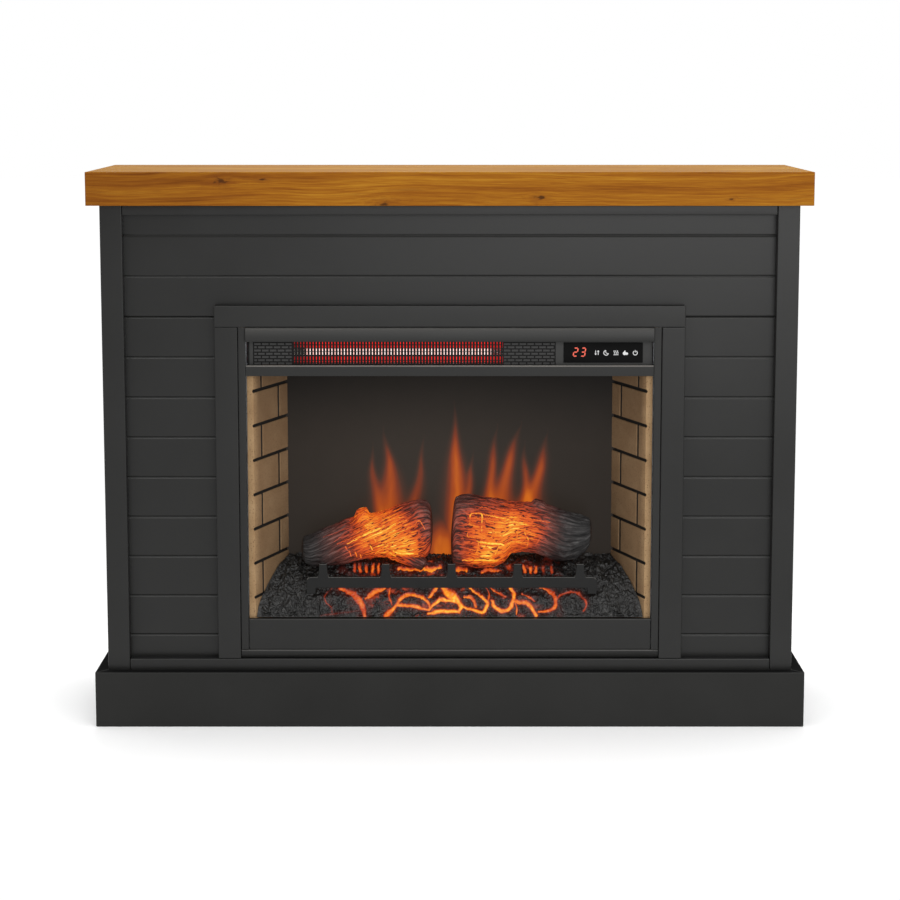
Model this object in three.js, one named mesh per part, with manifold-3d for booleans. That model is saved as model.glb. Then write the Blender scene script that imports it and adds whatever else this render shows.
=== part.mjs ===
// Electric fireplace: a painted mantel cabinet with a timber shelf, holding a steel infrared firebox insert.
// Millimetres, +Z up. The origin is on the floor, under the middle of the whole object. -Y is the front.
import * as THREE from "three";
import { mergeVertices } from "three/addons/utils/BufferGeometryUtils.js";
import Module from "manifold-3d";

const wasm = await Module();
wasm.setup();

// ---------------------------------------------------------------- driving dimensions

const WIDTH = 1168;
const HEIGHT = 914;
const DEPTH = 305;
const OVERHANG = 19; // shelf and plinth past the cabinet, in front and at both sides
const SHELF_T = 54;
const PLINTH_H = 92;
const BOARD_T = 18;
const PANEL_T = 12; // grooved cladding
const BACK_T = 6;
const COLUMN_W = 36;
const TOP_RAIL_H = 16;
const PLANK_PITCH = 66.3;
const TOP_GROOVE_Z = 809.4;
const GROOVE_HALF = 2.5;
const GROOVE_DEPTH = 2.5;
const SURROUND_OUTER = 382.5; // half widths of the raised frame round the insert
const SURROUND_INNER = 345;
const SURROUND_TOP = 697;
const SURROUND_HEADER_H = 35;
const SEAM = 0.4; // gap left at a joint that shows
const GAP = 0.3; // clearance to a piece that was cut, turned or lofted

const SHEET = 1.5; // steel sheet
const CHASSIS_HALF = 334;
const CHASSIS_Y = [-112, 90];
const CHASSIS_Z = [114, 656];
const FACE_TRIM_W = 12.5;
const TRIM_BOTTOM_TOP = 124.9;
const HOOD_BOTTOM = 638.6;
const SILL_Z = [581.7, 598.1];
const FASCIA_TOP = 176.6;
const FIREBOX_FRONT = -120.5;
const FIREBOX_BACK = -3;
const FIREBOX_Z = [162, 595.5]; // brick panels and flame screen, below the sill's top flange
const BRICK_FRONT_HALF = 320.9; // half width between the brick faces at the front, then at the back
const BRICK_BACK_HALF = 274.3;
const BRICK_LIP = 10.6;
const BRICK_COURSE = 57.4;
const BRICK_TOP_JOINT = 554.8;
const BRICK_LENGTH = 127;
const FIRST_PERPEND = 30.2; // first upright joint behind the front edge
const JOINT_W = 5;
const BED_JOINT_DEPTH = 3;
const PERPEND_DEPTH = 2.5;
const SHAFT_SIDES = 12;
const ROUND_SIDES = 16;

const halfW = WIDTH / 2;
const front = -DEPTH / 2;
const back = DEPTH / 2;
const cabinetHalf = halfW - OVERHANG;
const faceY = front + OVERHANG; // front of columns, rails and surround
const claddingY = faceY + BOARD_T;
const carcassY = claddingY + PANEL_T;
const shelfZ = HEIGHT - SHELF_T;
const columnInner = cabinetHalf - COLUMN_W;
const floorTop = PLINTH_H + BOARD_T;
const dividerInner = SURROUND_INNER + 5;
const headerZ = SURROUND_TOP - SURROUND_HEADER_H;

// ---------------------------------------------------------------- materials

const finish = (color, roughness, metalness = 0) =>
  new THREE.MeshStandardMaterial({ color, roughness, metalness });
const timber = finish(0xa2652a, 0.5);
const paint = finish(0x3a3a39, 0.55);
const rawBoard = finish(0x8a7458, 0.85);
const blackSteel = finish(0x3d3d3c, 0.45, 0.3);
const galvanised = finish(0x9a9c9e, 0.45, 0.9);
const brick = finish(0x8c6c49, 0.9);
const screenPlastic = finish(0x2e2a26, 0.25);
const castIron = finish(0x343534, 0.6, 0.5);
const charcoal = finish(0x3a2f2b, 0.85);
const logResin = finish(0x7a3f22, 0.8);
const blackGlass = finish(0x080808, 0.08);
const boardGreen = finish(0x1f5a38, 0.6);
const quartz = finish(0xffd9c8, 0.1);
const ceramic = finish(0xd9d4c8, 0.7);
const mirrorMetal = finish(0xc9c9c9, 0.15, 1);
const motorMetal = finish(0x6f7174, 0.4, 0.9);
const rubber = finish(0x141414, 0.8);

// ---------------------------------------------------------------- shape helpers

const part = new THREE.Group();

function add(name, geometry, material) {
  const mesh = new THREE.Mesh(geometry, material);
  mesh.name = name;
  part.add(mesh);
  return mesh;
}

function boxGeometry([x0, x1], [y0, y1], [z0, z1]) {
  const made = new THREE.BoxGeometry(x1 - x0, y1 - y0, z1 - z0);
  return made.translate((x0 + x1) / 2, (y0 + y1) / 2, (z0 + z1) / 2);
}

function board(name, x, y, z, material = paint) {
  return add(name, boxGeometry(x, y, z), material);
}

function extrude(points, depth) {
  const shape = new THREE.Shape(points.map(([u, v]) => new THREE.Vector2(u, v)));
  return new THREE.ExtrudeGeometry(shape, { depth, bevelEnabled: false });
}

// A section drawn in (y, z), run along X.
function alongX(points, x0, x1) {
  const basis = new THREE.Matrix4().makeBasis(
    new THREE.Vector3(0, 1, 0),
    new THREE.Vector3(0, 0, 1),
    new THREE.Vector3(1, 0, 0),
  );
  return extrude(points, x1 - x0).applyMatrix4(basis).translate(x0, 0, 0);
}

// A face drawn in (x, z), run along Y.
function alongY(points, y0, y1) {
  const basis = new THREE.Matrix4().makeBasis(
    new THREE.Vector3(1, 0, 0),
    new THREE.Vector3(0, 0, 1),
    new THREE.Vector3(0, -1, 0),
  );
  return extrude(points, y1 - y0).applyMatrix4(basis).translate(0, y1, 0);
}

// A plan drawn in (x, y), run along Z.
const alongZ = (points, z0, z1) => extrude(points, z1 - z0).translate(0, 0, z0);

const rectangle = ([u0, u1], [v0, v1]) => [
  [u0, v0],
  [u1, v0],
  [u1, v1],
  [u0, v1],
];

function arcPoints(cu, cv, radius, from, to, steps) {
  return Array.from({ length: steps + 1 }, (_, i) => {
    const a = from + ((to - from) * i) / steps;
    return [cu + radius * Math.cos(a), cv + radius * Math.sin(a)];
  });
}

const circlePoints = (cu, cv, radius) =>
  arcPoints(cu, cv, radius, 0, 2 * Math.PI, SHAFT_SIDES).slice(1);

const mirrorX = (points) => points.map(([x, y]) => [-x, y]).reverse();

function cylinderX(radius, x0, x1, y, z, sides = SHAFT_SIDES) {
  return new THREE.CylinderGeometry(radius, radius, x1 - x0, sides)
    .rotateZ(Math.PI / 2)
    .translate((x0 + x1) / 2, y, z);
}

function toSolid(geometry) {
  const bare = geometry.clone();
  bare.deleteAttribute("normal");
  bare.deleteAttribute("uv");
  const merged = mergeVertices(bare, 1e-4);
  return new wasm.Manifold(
    new wasm.Mesh({
      numProp: 3,
      vertProperties: new Float32Array(merged.attributes.position.array),
      triVerts: new Uint32Array(merged.index.array),
    }),
  );
}

function toGeometry(solid) {
  const mesh = solid.getMesh();
  const geometry = new THREE.BufferGeometry();
  geometry.setAttribute(
    "position",
    new THREE.BufferAttribute(new Float32Array(mesh.vertProperties), 3),
  );
  geometry.setIndex(new THREE.BufferAttribute(mesh.triVerts, 1));
  return geometry;
}

const join = (geometries) =>
  toGeometry(geometries.map(toSolid).reduce((a, b) => a.add(b)));
const cut = (geometry, tools) =>
  toGeometry(tools.map(toSolid).reduce((a, b) => a.subtract(b), toSolid(geometry)));
const common = (a, b) => toGeometry(toSolid(a).intersect(toSolid(b)));

// An upright plate across the object, with openings cut right through it.
function piercedPlate(outline, y0, y1, holes) {
  return cut(alongY(outline, y0, y1), holes.map((hole) => alongY(hole, y0 - 1, y1 + 1)));
}

// ---------------------------------------------------------------- mantel cabinet

function addShelf() {
  board("mantel_shelf", [-halfW, halfW], [front, back], [shelfZ, HEIGHT], timber);
}

function addCarcass() {
  const inside = cabinetHalf - BOARD_T;
  const depthRange = [carcassY, back - BACK_T];
  board("cabinet_floor", [-inside, inside], depthRange, [PLINTH_H, floorTop], rawBoard);
  board("cabinet_top", [-inside, inside], depthRange, [shelfZ - BOARD_T, shelfZ], rawBoard);
  for (const [side, s] of [["left", -1], ["right", 1]]) {
    const range = (a, b) => (s < 0 ? [-b, -a] : [a, b]);
    board(`side_panel_${side}`, range(inside, cabinetHalf), [claddingY, back], [0, shelfZ]);
    board(`${side}_column`, range(columnInner, cabinetHalf), [faceY, claddingY], [0, shelfZ]);
    board(
      `divider_${side}`,
      range(dividerInner, dividerInner + BOARD_T),
      depthRange,
      [floorTop, shelfZ - BOARD_T],
      rawBoard,
    );
    board(
      `back_panel_${side}`,
      range(dividerInner, inside),
      [back - BACK_T, back],
      [PLINTH_H, shelfZ],
      rawBoard,
    );
  }
}

function addRails() {
  const span = [-columnInner + SEAM, columnInner - SEAM];
  const depthRange = [faceY, claddingY];
  board("top_rail", span, depthRange, [shelfZ - TOP_RAIL_H, shelfZ]);
  board("bottom_rail", span, depthRange, [floorTop - 2 * BOARD_T, floorTop]);
}

// Three skirting boards with mitred front corners.
function addPlinth() {
  const inner = cabinetHalf;
  add(
    "plinth_front",
    alongZ([[-halfW, front], [halfW, front], [inner, faceY], [-inner, faceY]], 0, PLINTH_H),
    paint,
  );
  const right = [[inner, faceY], [halfW, front], [halfW, back], [inner, back]];
  add("plinth_right", alongZ(right, 0, PLINTH_H), paint);
  add("plinth_left", alongZ(mirrorX(right), 0, PLINTH_H), paint);
}

// Cladding with V grooves at the plank pitch: zTop and zBottom are the panel's ends.
function claddingSection(zBottom, zTop, grooves) {
  const outline = [[claddingY + PANEL_T, zBottom], [claddingY + PANEL_T, zTop]];
  const inGroove = (z) => grooves.some((g) => Math.abs(g - z) < 0.01);
  if (inGroove(zTop)) outline.push([claddingY + GROOVE_DEPTH, zTop], [claddingY, zTop - GROOVE_HALF]);
  else outline.push([claddingY, zTop]);
  for (const g of grooves.filter((z) => z < zTop - 1 && z > zBottom + 1))
    outline.push(
      [claddingY, g + GROOVE_HALF],
      [claddingY + GROOVE_DEPTH, g],
      [claddingY, g - GROOVE_HALF],
    );
  if (inGroove(zBottom))
    outline.push([claddingY, zBottom + GROOVE_HALF], [claddingY + GROOVE_DEPTH, zBottom]);
  else outline.push([claddingY, zBottom]);
  return outline.reverse();
}

function addCladding() {
  const grooves = Array.from({ length: 11 }, (_, i) => TOP_GROOVE_Z - i * PLANK_PITCH);
  const splitZ = grooves[2]; // the upper panel ends at the groove beside the surround's header
  const inside = cabinetHalf - BOARD_T;
  const upper = claddingSection(splitZ, shelfZ, grooves);
  const lower = claddingSection(floorTop - 2 * BOARD_T, splitZ, grooves);
  add("shiplap_upper", alongX(upper, -inside, inside), paint);
  add("shiplap_left", alongX(lower, -inside, -dividerInner), paint);
  add("shiplap_right", alongX(lower, dividerInner, inside), paint);
}

function addSurround() {
  const depthRange = [faceY, claddingY];
  board("surround_header", [-SURROUND_OUTER, SURROUND_OUTER], depthRange, [headerZ, SURROUND_TOP]);
  const legZ = [floorTop + SEAM, headerZ - SEAM];
  board("surround_left", [-SURROUND_OUTER, -SURROUND_INNER], depthRange, legZ);
  board("surround_right", [SURROUND_INNER, SURROUND_OUTER], depthRange, legZ);
}

// ---------------------------------------------------------------- insert: sheet-metal box and face

const trimY = faceY + 2;
const trimHalf = SURROUND_INNER - SEAM;
const faceHalf = trimHalf - FACE_TRIM_W - GAP; // parts that fit between the side trims
const stripY = [-121, -119];

function addChassis() {
  const [z0, z1] = CHASSIS_Z;
  const inner = CHASSIS_HALF - SHEET;
  board("chassis_left", [-CHASSIS_HALF, -inner], CHASSIS_Y, CHASSIS_Z, galvanised);
  board("chassis_right", [inner, CHASSIS_HALF], CHASSIS_Y, CHASSIS_Z, galvanised);
  board("chassis_top", [-inner, inner], CHASSIS_Y, [z1 - SHEET, z1], galvanised);
  // The bottom sheet turns down at its front and back edges, and stands on those folds.
  const [y0, y1] = CHASSIS_Y;
  const pan = [
    [y0, floorTop],
    [y0 + SHEET, floorTop],
    [y0 + SHEET, z0],
    [y1 - SHEET, z0],
    [y1 - SHEET, floorTop],
    [y1, floorTop],
    [y1, z0 + SHEET],
    [y0, z0 + SHEET],
  ];
  add("chassis_bottom", alongX(pan, -inner, inner), galvanised);
}

const GLAND_X = 285;
const GLAND_Z = 165;
const GLAND_R = 9;
const VENT_W = 110;
const VENT_H = 4;
const VENT_PITCH = 11;
const OUTLET_VENTS_X = [-200, -60, 80];
const OUTLET_VENTS_Z = 590;
const INTAKE_VENT = { x: -210, z: 150 };
const rearY = CHASSIS_Y[1] + GAP;

const ventSlots = (x, z, rows) =>
  Array.from({ length: rows }, (_, i) =>
    rectangle([x, x + VENT_W], [z + i * VENT_PITCH, z + i * VENT_PITCH + VENT_H]),
  );

function addRearCover() {
  const openings = [
    ...OUTLET_VENTS_X.flatMap((x) => ventSlots(x, OUTLET_VENTS_Z, 5)),
    ...ventSlots(INTAKE_VENT.x, INTAKE_VENT.z, 4),
    circlePoints(GLAND_X, GLAND_Z, GLAND_R + SEAM),
  ];
  const plate = rectangle([-CHASSIS_HALF, CHASSIS_HALF], CHASSIS_Z);
  add("rear_cover", piercedPlate(plate, rearY, rearY + SHEET, openings), galvanised);
}

function addFaceTrims() {
  const inner = trimHalf - FACE_TRIM_W;
  const returnDepth = 17;
  const angle = [
    [inner, trimY],
    [trimHalf, trimY],
    [trimHalf, trimY + returnDepth],
    [trimHalf - SHEET, trimY + returnDepth],
    [trimHalf - SHEET, trimY + SHEET],
    [inner, trimY + SHEET],
  ];
  const legZ = [TRIM_BOTTOM_TOP + GAP, headerZ - SEAM];
  add("trim_right", alongZ(angle, ...legZ), blackSteel);
  add("trim_left", alongZ(mirrorX(angle), ...legZ), blackSteel);
  const bead = [
    [trimY + 16, floorTop + 0.6],
    [trimY + 16, TRIM_BOTTOM_TOP],
    [trimY + 2, TRIM_BOTTOM_TOP],
    [trimY + 0.5, TRIM_BOTTOM_TOP - 1],
    [trimY, TRIM_BOTTOM_TOP - 3],
    [trimY + 1.2, TRIM_BOTTOM_TOP - 9],
    [trimY + 3.5, floorTop + 2],
    [trimY + 6, floorTop + 0.6],
  ];
  add("trim_bottom", alongX(bead, -trimHalf, trimHalf), blackSteel);
}

// The hood is one bent sheet: a top flange, a bulging front and a short return under it.
function addHood() {
  const top = headerZ - 0.5;
  const outer = [
    [-114, top],
    [-132.5, top],
    [-135.6, top - 1.7],
    [-137.4, top - 6],
    [-138.6, top - 13],
    [-139, HOOD_BOTTOM + 3],
    [-138.2, HOOD_BOTTOM],
    [-128, HOOD_BOTTOM],
  ];
  const inner = [
    [-128, HOOD_BOTTOM + SHEET],
    [-137, HOOD_BOTTOM + SHEET],
    [-137.4, HOOD_BOTTOM + 3.5],
    [-137.1, top - 12.8],
    [-136, top - 6.4],
    [-134.6, top - 2.9],
    [-132.1, top - SHEET],
    [-114, top - SHEET],
  ];
  add("hood", alongX([...outer, ...inner], -faceHalf, faceHalf), blackSteel);
}

// Two folded sheets: the step under the heater, and the board below the coals.
function addSillAndFascia() {
  const [z0, z1] = SILL_Z;
  const y0 = trimY + 0.5;
  const sill = [
    [stripY[1], z1],
    [y0 + 1, z1],
    [y0, z1 - 1],
    [y0, z0],
    [FIREBOX_FRONT - 1, z0],
    [FIREBOX_FRONT - 1, z0 + SHEET],
    [y0 + SHEET, z0 + SHEET],
    [y0 + SHEET, z1 - SHEET],
    [stripY[1], z1 - SHEET],
  ];
  add("heater_sill", alongX(sill, -faceHalf, faceHalf), blackSteel);
  const fasciaY = trimY + 2;
  const flangeY = FIREBOX_FRONT - 0.5;
  const bottom = TRIM_BOTTOM_TOP + SEAM;
  const fascia = [
    [flangeY, FASCIA_TOP],
    [fasciaY + 1, FASCIA_TOP],
    [fasciaY, FASCIA_TOP - 1],
    [fasciaY, bottom],
    [fasciaY + SHEET, bottom],
    [fasciaY + SHEET, FASCIA_TOP - SHEET],
    [flangeY, FASCIA_TOP - SHEET],
  ];
  add("bottom_fascia", alongX(fascia, -faceHalf, faceHalf), blackSteel);
}

// ---------------------------------------------------------------- heater strip and controls

const STRIP_HALF = 330;
const WINDOW_X = [-257, 86];
const GLASS_X = [185.5, 314.5];
const GLASS_Z = [602.7, 635.7];
const GLASS_T = 1.6;
const DIGITS_X = 212;
const DIGITS_W = 27;
const DIGITS_H = 20;
const KEY_X = [239.6, 255.1, 270.8, 285.9, 302.1];
const KEY_HOLE = 8;
const stripZ = [SILL_Z[1] + SEAM, HOOD_BOTTOM - SEAM];
const glassMidZ = (GLASS_Z[0] + GLASS_Z[1]) / 2;

// The plate behind the glass has one window for the digits and one for each touch key's light.
function addHeaterStrip() {
  const left = rectangle([-STRIP_HALF, WINDOW_X[0] - GAP], stripZ);
  add("heater_strip_left", alongY(left, ...stripY), blackSteel);
  const aroundMiddle = (x, w, h) =>
    rectangle([x - w / 2, x + w / 2], [glassMidZ - h / 2, glassMidZ + h / 2]);
  const windows = [
    aroundMiddle(DIGITS_X, DIGITS_W, DIGITS_H),
    ...KEY_X.map((x) => aroundMiddle(x, KEY_HOLE, KEY_HOLE)),
  ];
  const right = rectangle([WINDOW_X[1] + GAP, STRIP_HALF], stripZ);
  add("heater_strip_right", piercedPlate(right, ...stripY, windows), blackSteel);
}

// Touch panel: a glass plate with its display and key lights bonded behind it.
function addControls() {
  const glassY = [stripY[0] - GAP - GLASS_T, stripY[0] - GAP];
  board("control_panel", GLASS_X, glassY, GLASS_Z, blackGlass);
}

// Guard of welded wires across the heater, with every third wire of the real mesh.
function addHeaterGuard() {
  const columns = 22;
  const rows = 2;
  const rim = 2.5;
  const wire = 1.5;
  const [x0, x1] = WINDOW_X;
  const [z0, z1] = stripZ;
  const stepX = (x1 - x0 - 2 * rim + wire) / columns;
  const stepZ = (z1 - z0 - 2 * rim + wire) / rows;
  const holes = [];
  for (let i = 0; i < columns; i++)
    for (let j = 0; j < rows; j++) {
      const hx = x0 + rim + i * stepX;
      const hz = z0 + rim + j * stepZ;
      holes.push(rectangle([hx, hx + stepX - wire], [hz, hz + stepZ - wire]));
    }
  add("heater_guard", piercedPlate(rectangle(WINDOW_X, stripZ), ...stripY, holes), blackSteel);
}

const TUBE_Y = -99;
const TUBE_Z = 617.5;
const TUBE_X = [-238, 84];
const TUBE_R = 5.5;
const CAP_R = 8;
const CAP_LENGTH = 18;
const REFLECTOR_R = 15.5;

function addHeatingElement() {
  const [x0, x1] = TUBE_X;
  add("quartz_tube", cylinderX(TUBE_R, x0, x1, TUBE_Y, TUBE_Z, ROUND_SIDES), quartz);
  add("tube_cap_left", cylinderX(CAP_R, x0 - CAP_LENGTH, x0 - GAP, TUBE_Y, TUBE_Z), ceramic);
  add("tube_cap_right", cylinderX(CAP_R, x1 + GAP, x1 + CAP_LENGTH, TUBE_Y, TUBE_Z), ceramic);
  // A polished trough that opens to the front, bent round the tube.
  const reach = 0.55 * Math.PI;
  const outer = arcPoints(TUBE_Y, TUBE_Z, REFLECTOR_R + 1, -reach, reach, 8);
  const inner = arcPoints(TUBE_Y, TUBE_Z, REFLECTOR_R, reach, -reach, 8);
  const trough = alongX([...outer, ...inner], x0 - CAP_LENGTH, x1 + CAP_LENGTH);
  add("reflector", trough, mirrorMetal);
}

// ---------------------------------------------------------------- firebox

const trayTop = FIREBOX_Z[0] - 0.7;
const wallHalf = (y) =>
  BRICK_FRONT_HALF +
  ((BRICK_BACK_HALF - BRICK_FRONT_HALF) * (y - FIREBOX_FRONT)) / (FIREBOX_BACK - FIREBOX_FRONT);

// The right panel: cast brickwork with raked joints. s is distance along the face from its front edge.
function brickPanelGeometry() {
  const plan = [
    [BRICK_FRONT_HALF, FIREBOX_FRONT],
    [BRICK_FRONT_HALF + BRICK_LIP, FIREBOX_FRONT],
    [BRICK_BACK_HALF + BRICK_LIP, FIREBOX_BACK],
    [BRICK_BACK_HALF, FIREBOX_BACK],
  ];
  const [z0, z1] = FIREBOX_Z;
  const splay = BRICK_FRONT_HALF - BRICK_BACK_HALF;
  const run = FIREBOX_BACK - FIREBOX_FRONT;
  const angle = Math.atan2(splay, run);
  const length = Math.hypot(splay, run);
  const joint = (depth, along, up) =>
    boxGeometry([-2, depth], along, up).rotateZ(angle).translate(BRICK_FRONT_HALF, FIREBOX_FRONT, 0);
  const around = (middle, size) => [middle - size / 2, middle + size / 2];
  const joints = [];
  const courses = Math.ceil((BRICK_TOP_JOINT - z0) / BRICK_COURSE);
  for (let i = 0; i < courses; i++) {
    const bedZ = BRICK_TOP_JOINT - i * BRICK_COURSE;
    joints.push(joint(BED_JOINT_DEPTH, [-5, length + 5], around(bedZ, JOINT_W)));
  }
  for (let i = 0; i <= courses; i++) {
    const top = Math.min(BRICK_TOP_JOINT - (i - 1) * BRICK_COURSE, z1 + 1);
    const bottom = Math.max(BRICK_TOP_JOINT - i * BRICK_COURSE, z0 - 1);
    const s = FIRST_PERPEND + (i % 2) * (BRICK_LENGTH / 2);
    joints.push(joint(PERPEND_DEPTH, around(s, JOINT_W), [bottom, top]));
  }
  return cut(alongZ(plan, z0, z1), joints);
}

function mirroredGeometry(geometry) {
  const made = geometry.clone().scale(-1, 1, 1);
  const order = Array.from(made.index.array);
  for (let i = 0; i < order.length; i += 3) {
    [order[i + 1], order[i + 2]] = [order[i + 2], order[i + 1]];
  }
  return made.setIndex(order);
}

const SCREEN_HALF = 282;
const SCREEN_T = 3;
const TRAY_Y = [-119, 30];
const SHIELD_Y = [-111.5, 88];

function addFirebox() {
  const right = brickPanelGeometry();
  add("brick_panel_right", right, brick);
  add("brick_panel_left", mirroredGeometry(right), brick);
  const screenY = [FIREBOX_BACK + SEAM, FIREBOX_BACK + SEAM + SCREEN_T];
  board("flame_screen", [-SCREEN_HALF, SCREEN_HALF], screenY, FIREBOX_Z, screenPlastic);
  const inside = [-CHASSIS_HALF + SHEET + SEAM, CHASSIS_HALF - SHEET - SEAM];
  const shieldZ = SILL_Z[1] + SEAM;
  board("heat_shield", inside, SHIELD_Y, [shieldZ, shieldZ + SHEET], galvanised);
  board("firebox_tray", inside, TRAY_Y, [trayTop - SHEET, trayTop], galvanised);
}

// Height of the coal bed along the depth, as a thin moulded shell open underneath.
const BED_TOP = [
  [-119.5, 177],
  [-113, 190],
  [-106, 211],
  [-94, 212.3],
  [-73, 230],
  [-42, 249],
  [-6, 259.5],
];
const BED_SHELL = 4;

function addEmberBed() {
  const base = trayTop + 1;
  const [firstY] = BED_TOP[0];
  const [lastY, lastZ] = BED_TOP[BED_TOP.length - 1];
  const inside = BED_TOP.map(([y, z]) => [y, z - BED_SHELL]).slice(1, -1);
  const section = [
    [firstY, base],
    ...BED_TOP,
    [lastY, base],
    [lastY - BED_SHELL, base],
    [lastY - BED_SHELL, lastZ - BED_SHELL],
    ...inside.reverse(),
    [firstY + BED_SHELL, base],
  ].reverse();
  const plan = [firstY, lastY].map((y) => [wallHalf(y) - 1, y]);
  const footprint = [...plan, ...mirrorX(plan)];
  const bar = alongX(section, -BRICK_FRONT_HALF, BRICK_FRONT_HALF);
  add("ember_bed", common(bar, alongZ(footprint, base - 1, lastZ + 1)), charcoal);
}

// A log as rings round a bent spine: [x, y, z, radius along Y, radius along Z].
function logGeometry(stations, sides = 12) {
  const positions = [];
  for (const [x, y, z, ry, rz] of stations)
    for (let i = 0; i < sides; i++) {
      const a = (2 * Math.PI * i) / sides;
      positions.push(x, y + ry * Math.cos(a), z + rz * Math.sin(a));
    }
  const index = [];
  const last = stations.length - 1;
  for (let k = 0; k < last; k++)
    for (let i = 0; i < sides; i++) {
      const j = (i + 1) % sides;
      const [a, b, c, d] = [k * sides + i, k * sides + j, (k + 1) * sides + i, (k + 1) * sides + j];
      index.push(a, b, c, b, d, c);
    }
  for (let i = 1; i < sides - 1; i++) {
    index.push(0, i + 1, i);
    index.push(last * sides, last * sides + i, last * sides + i + 1);
  }
  const geometry = new THREE.BufferGeometry();
  geometry.setAttribute("position", new THREE.Float32BufferAttribute(positions, 3));
  return geometry.setIndex(index);
}

const LEFT_LOG = [
  [-247, -60, 272, 14, 15],
  [-238, -60, 273, 22, 25],
  [-214, -60, 275, 26, 31],
  [-172, -60, 284, 30, 34],
  [-126, -59, 291, 33, 37],
  [-80, -58, 295, 35, 43],
  [-48, -57, 300, 36, 49],
  [-31, -56, 304, 30, 40],
];
const RIGHT_LOG = [
  [8, -52, 308, 32, 46],
  [20, -54, 306, 38, 58],
  [72, -54, 306, 38, 56],
  [92, -55, 313, 36, 46],
  [140, -55, 318, 33, 41],
  [180, -56, 310, 30, 42],
  [222, -56, 305, 26, 34],
  [240, -56, 310, 18, 20],
];

function addLogs() {
  add("log_left", logGeometry(LEFT_LOG), logResin);
  add("log_right", logGeometry(RIGHT_LOG), logResin);
}

// ---------------------------------------------------------------- grate

const GRATE_X = 3;
const GRATE_HALF = 241;
const GRATE_Y = [-104.5, -97];
const GRATE_BAR = [222.8, 241];
const GRATE_POST_TOP = 263;
const GRATE_FOOT = 212.8;
const GRATE_LEG_W = 15;
const GRATE_CORNER = 7;
const GRATE_POSTS = [213.5, 109.5, 0, -109.5, -213.5];

function addGrate() {
  const [barBottom, barTop] = GRATE_BAR;
  const left = GRATE_X - GRATE_HALF;
  const right = GRATE_X + GRATE_HALF;
  const cornerZ = barTop - GRATE_CORNER;
  const post = (x) => [
    [x + 9.5, barTop],
    [x + 7.5, barTop + 4],
    [x + 6, GRATE_POST_TOP],
    [x - 6, GRATE_POST_TOP],
    [x - 7.5, barTop + 4],
    [x - 9.5, barTop],
  ];
  const outline = [
    [left, GRATE_FOOT],
    [left + GRATE_LEG_W, GRATE_FOOT],
    [left + GRATE_LEG_W, barBottom],
    [right - GRATE_LEG_W, barBottom],
    [right - GRATE_LEG_W, GRATE_FOOT],
    [right, GRATE_FOOT],
    ...arcPoints(right - GRATE_CORNER, cornerZ, GRATE_CORNER, 0, Math.PI / 2, 3),
    ...GRATE_POSTS.flatMap((x) => post(GRATE_X + x)),
    ...arcPoints(left + GRATE_CORNER, cornerZ, GRATE_CORNER, Math.PI / 2, Math.PI, 3),
  ];
  add("grate", alongY(outline, ...GRATE_Y), castIron);
}

// ---------------------------------------------------------------- flame and blower mechanism

const ROD_R = 3;
const ROTOR_Y = 38;
const ROTOR_Z = 215;
const ROTOR_X = [-268, 262];
const VANES = 17;
const VANE_PITCH = 30;
const VANE_W = 18;
const VANE_REACH = 17;
const VANE_T = 1;
const ROTOR_MOTOR_R = 23;
const ROTOR_MOTOR_L = 24;
const BEARING_HALF = 14;
const BEARING_T = 3;

// A rod with mirror vanes, each turned a sixth of a turn on from the one before.
function addFlameRotor() {
  const [x0, x1] = ROTOR_X;
  const vane = (i) => {
    const x = (i - (VANES - 1) / 2) * VANE_PITCH;
    return boxGeometry(
      [x - VANE_W / 2, x + VANE_W / 2],
      [-VANE_REACH, VANE_REACH],
      [-VANE_T / 2, VANE_T / 2],
    ).rotateX((i * Math.PI) / 3);
  };
  const pieces = [cylinderX(ROD_R, x0, x1, 0, 0), ...Array.from({ length: VANES }, (_, i) => vane(i))];
  add("flame_rotor", join(pieces).translate(0, ROTOR_Y, ROTOR_Z), mirrorMetal);
  const motorX = [x1 + 1, x1 + 1 + ROTOR_MOTOR_L];
  add("rotor_motor", cylinderX(ROTOR_MOTOR_R, ...motorX, ROTOR_Y, ROTOR_Z, ROUND_SIDES), motorMetal);
  const bearingX = [x0 + BEARING_T, x0 + 2 * BEARING_T];
  const bearingY = [ROTOR_Y - BEARING_HALF, ROTOR_Y + BEARING_HALF];
  const plate = boxGeometry(bearingX, bearingY, [trayTop + SEAM, ROTOR_Z + BEARING_HALF]);
  const bore = cylinderX(ROD_R + 0.5, x0, x0 + 3 * BEARING_T, ROTOR_Y, ROTOR_Z);
  add("rotor_bearing", cut(plate, [bore]), galvanised);
}

// A circuit board with a row of raised lamps on one face.
function addLightBoard(name, size, lampSize) {
  const lamps = 10;
  const lampHalf = 2.5;
  const [x0, x1] = size.x;
  const pieces = [boxGeometry(size.x, size.y, size.z)];
  for (let i = 0; i < lamps; i++) {
    const x = x0 + ((x1 - x0) * (i + 0.5)) / lamps;
    pieces.push(boxGeometry([x - lampHalf, x + lampHalf], lampSize.y, lampSize.z));
  }
  add(name, join(pieces), boardGreen);
}

function addLights() {
  addLightBoard(
    "flame_led_board",
    { x: [-250, 250], y: [66, 67.6], z: [200, 230] },
    { y: [64, 66.5], z: [212, 217] },
  );
  addLightBoard(
    "ember_led_board",
    { x: [-240, 240], y: [-92, -66], z: [162, 163.6] },
    { y: [-82, -77], z: [163, 166] },
  );
}

const BLOWER_Y = -40;
const BLOWER_Z = 627.5;
const BLOWER_X = [-235, 65];
const BLOWER_R = 18;
const BLOWER_BLADES = 12;
const BLADE_DEPTH = 5;
const BLADE_T = 1;
const DISCS = 3;
const DISC_T = 2;
const HOUSING_R = 21.3;
const HOUSING_T = 1.2;
const BLOWER_MOTOR_R = 21;
const BLOWER_MOTOR_L = 34;

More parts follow.
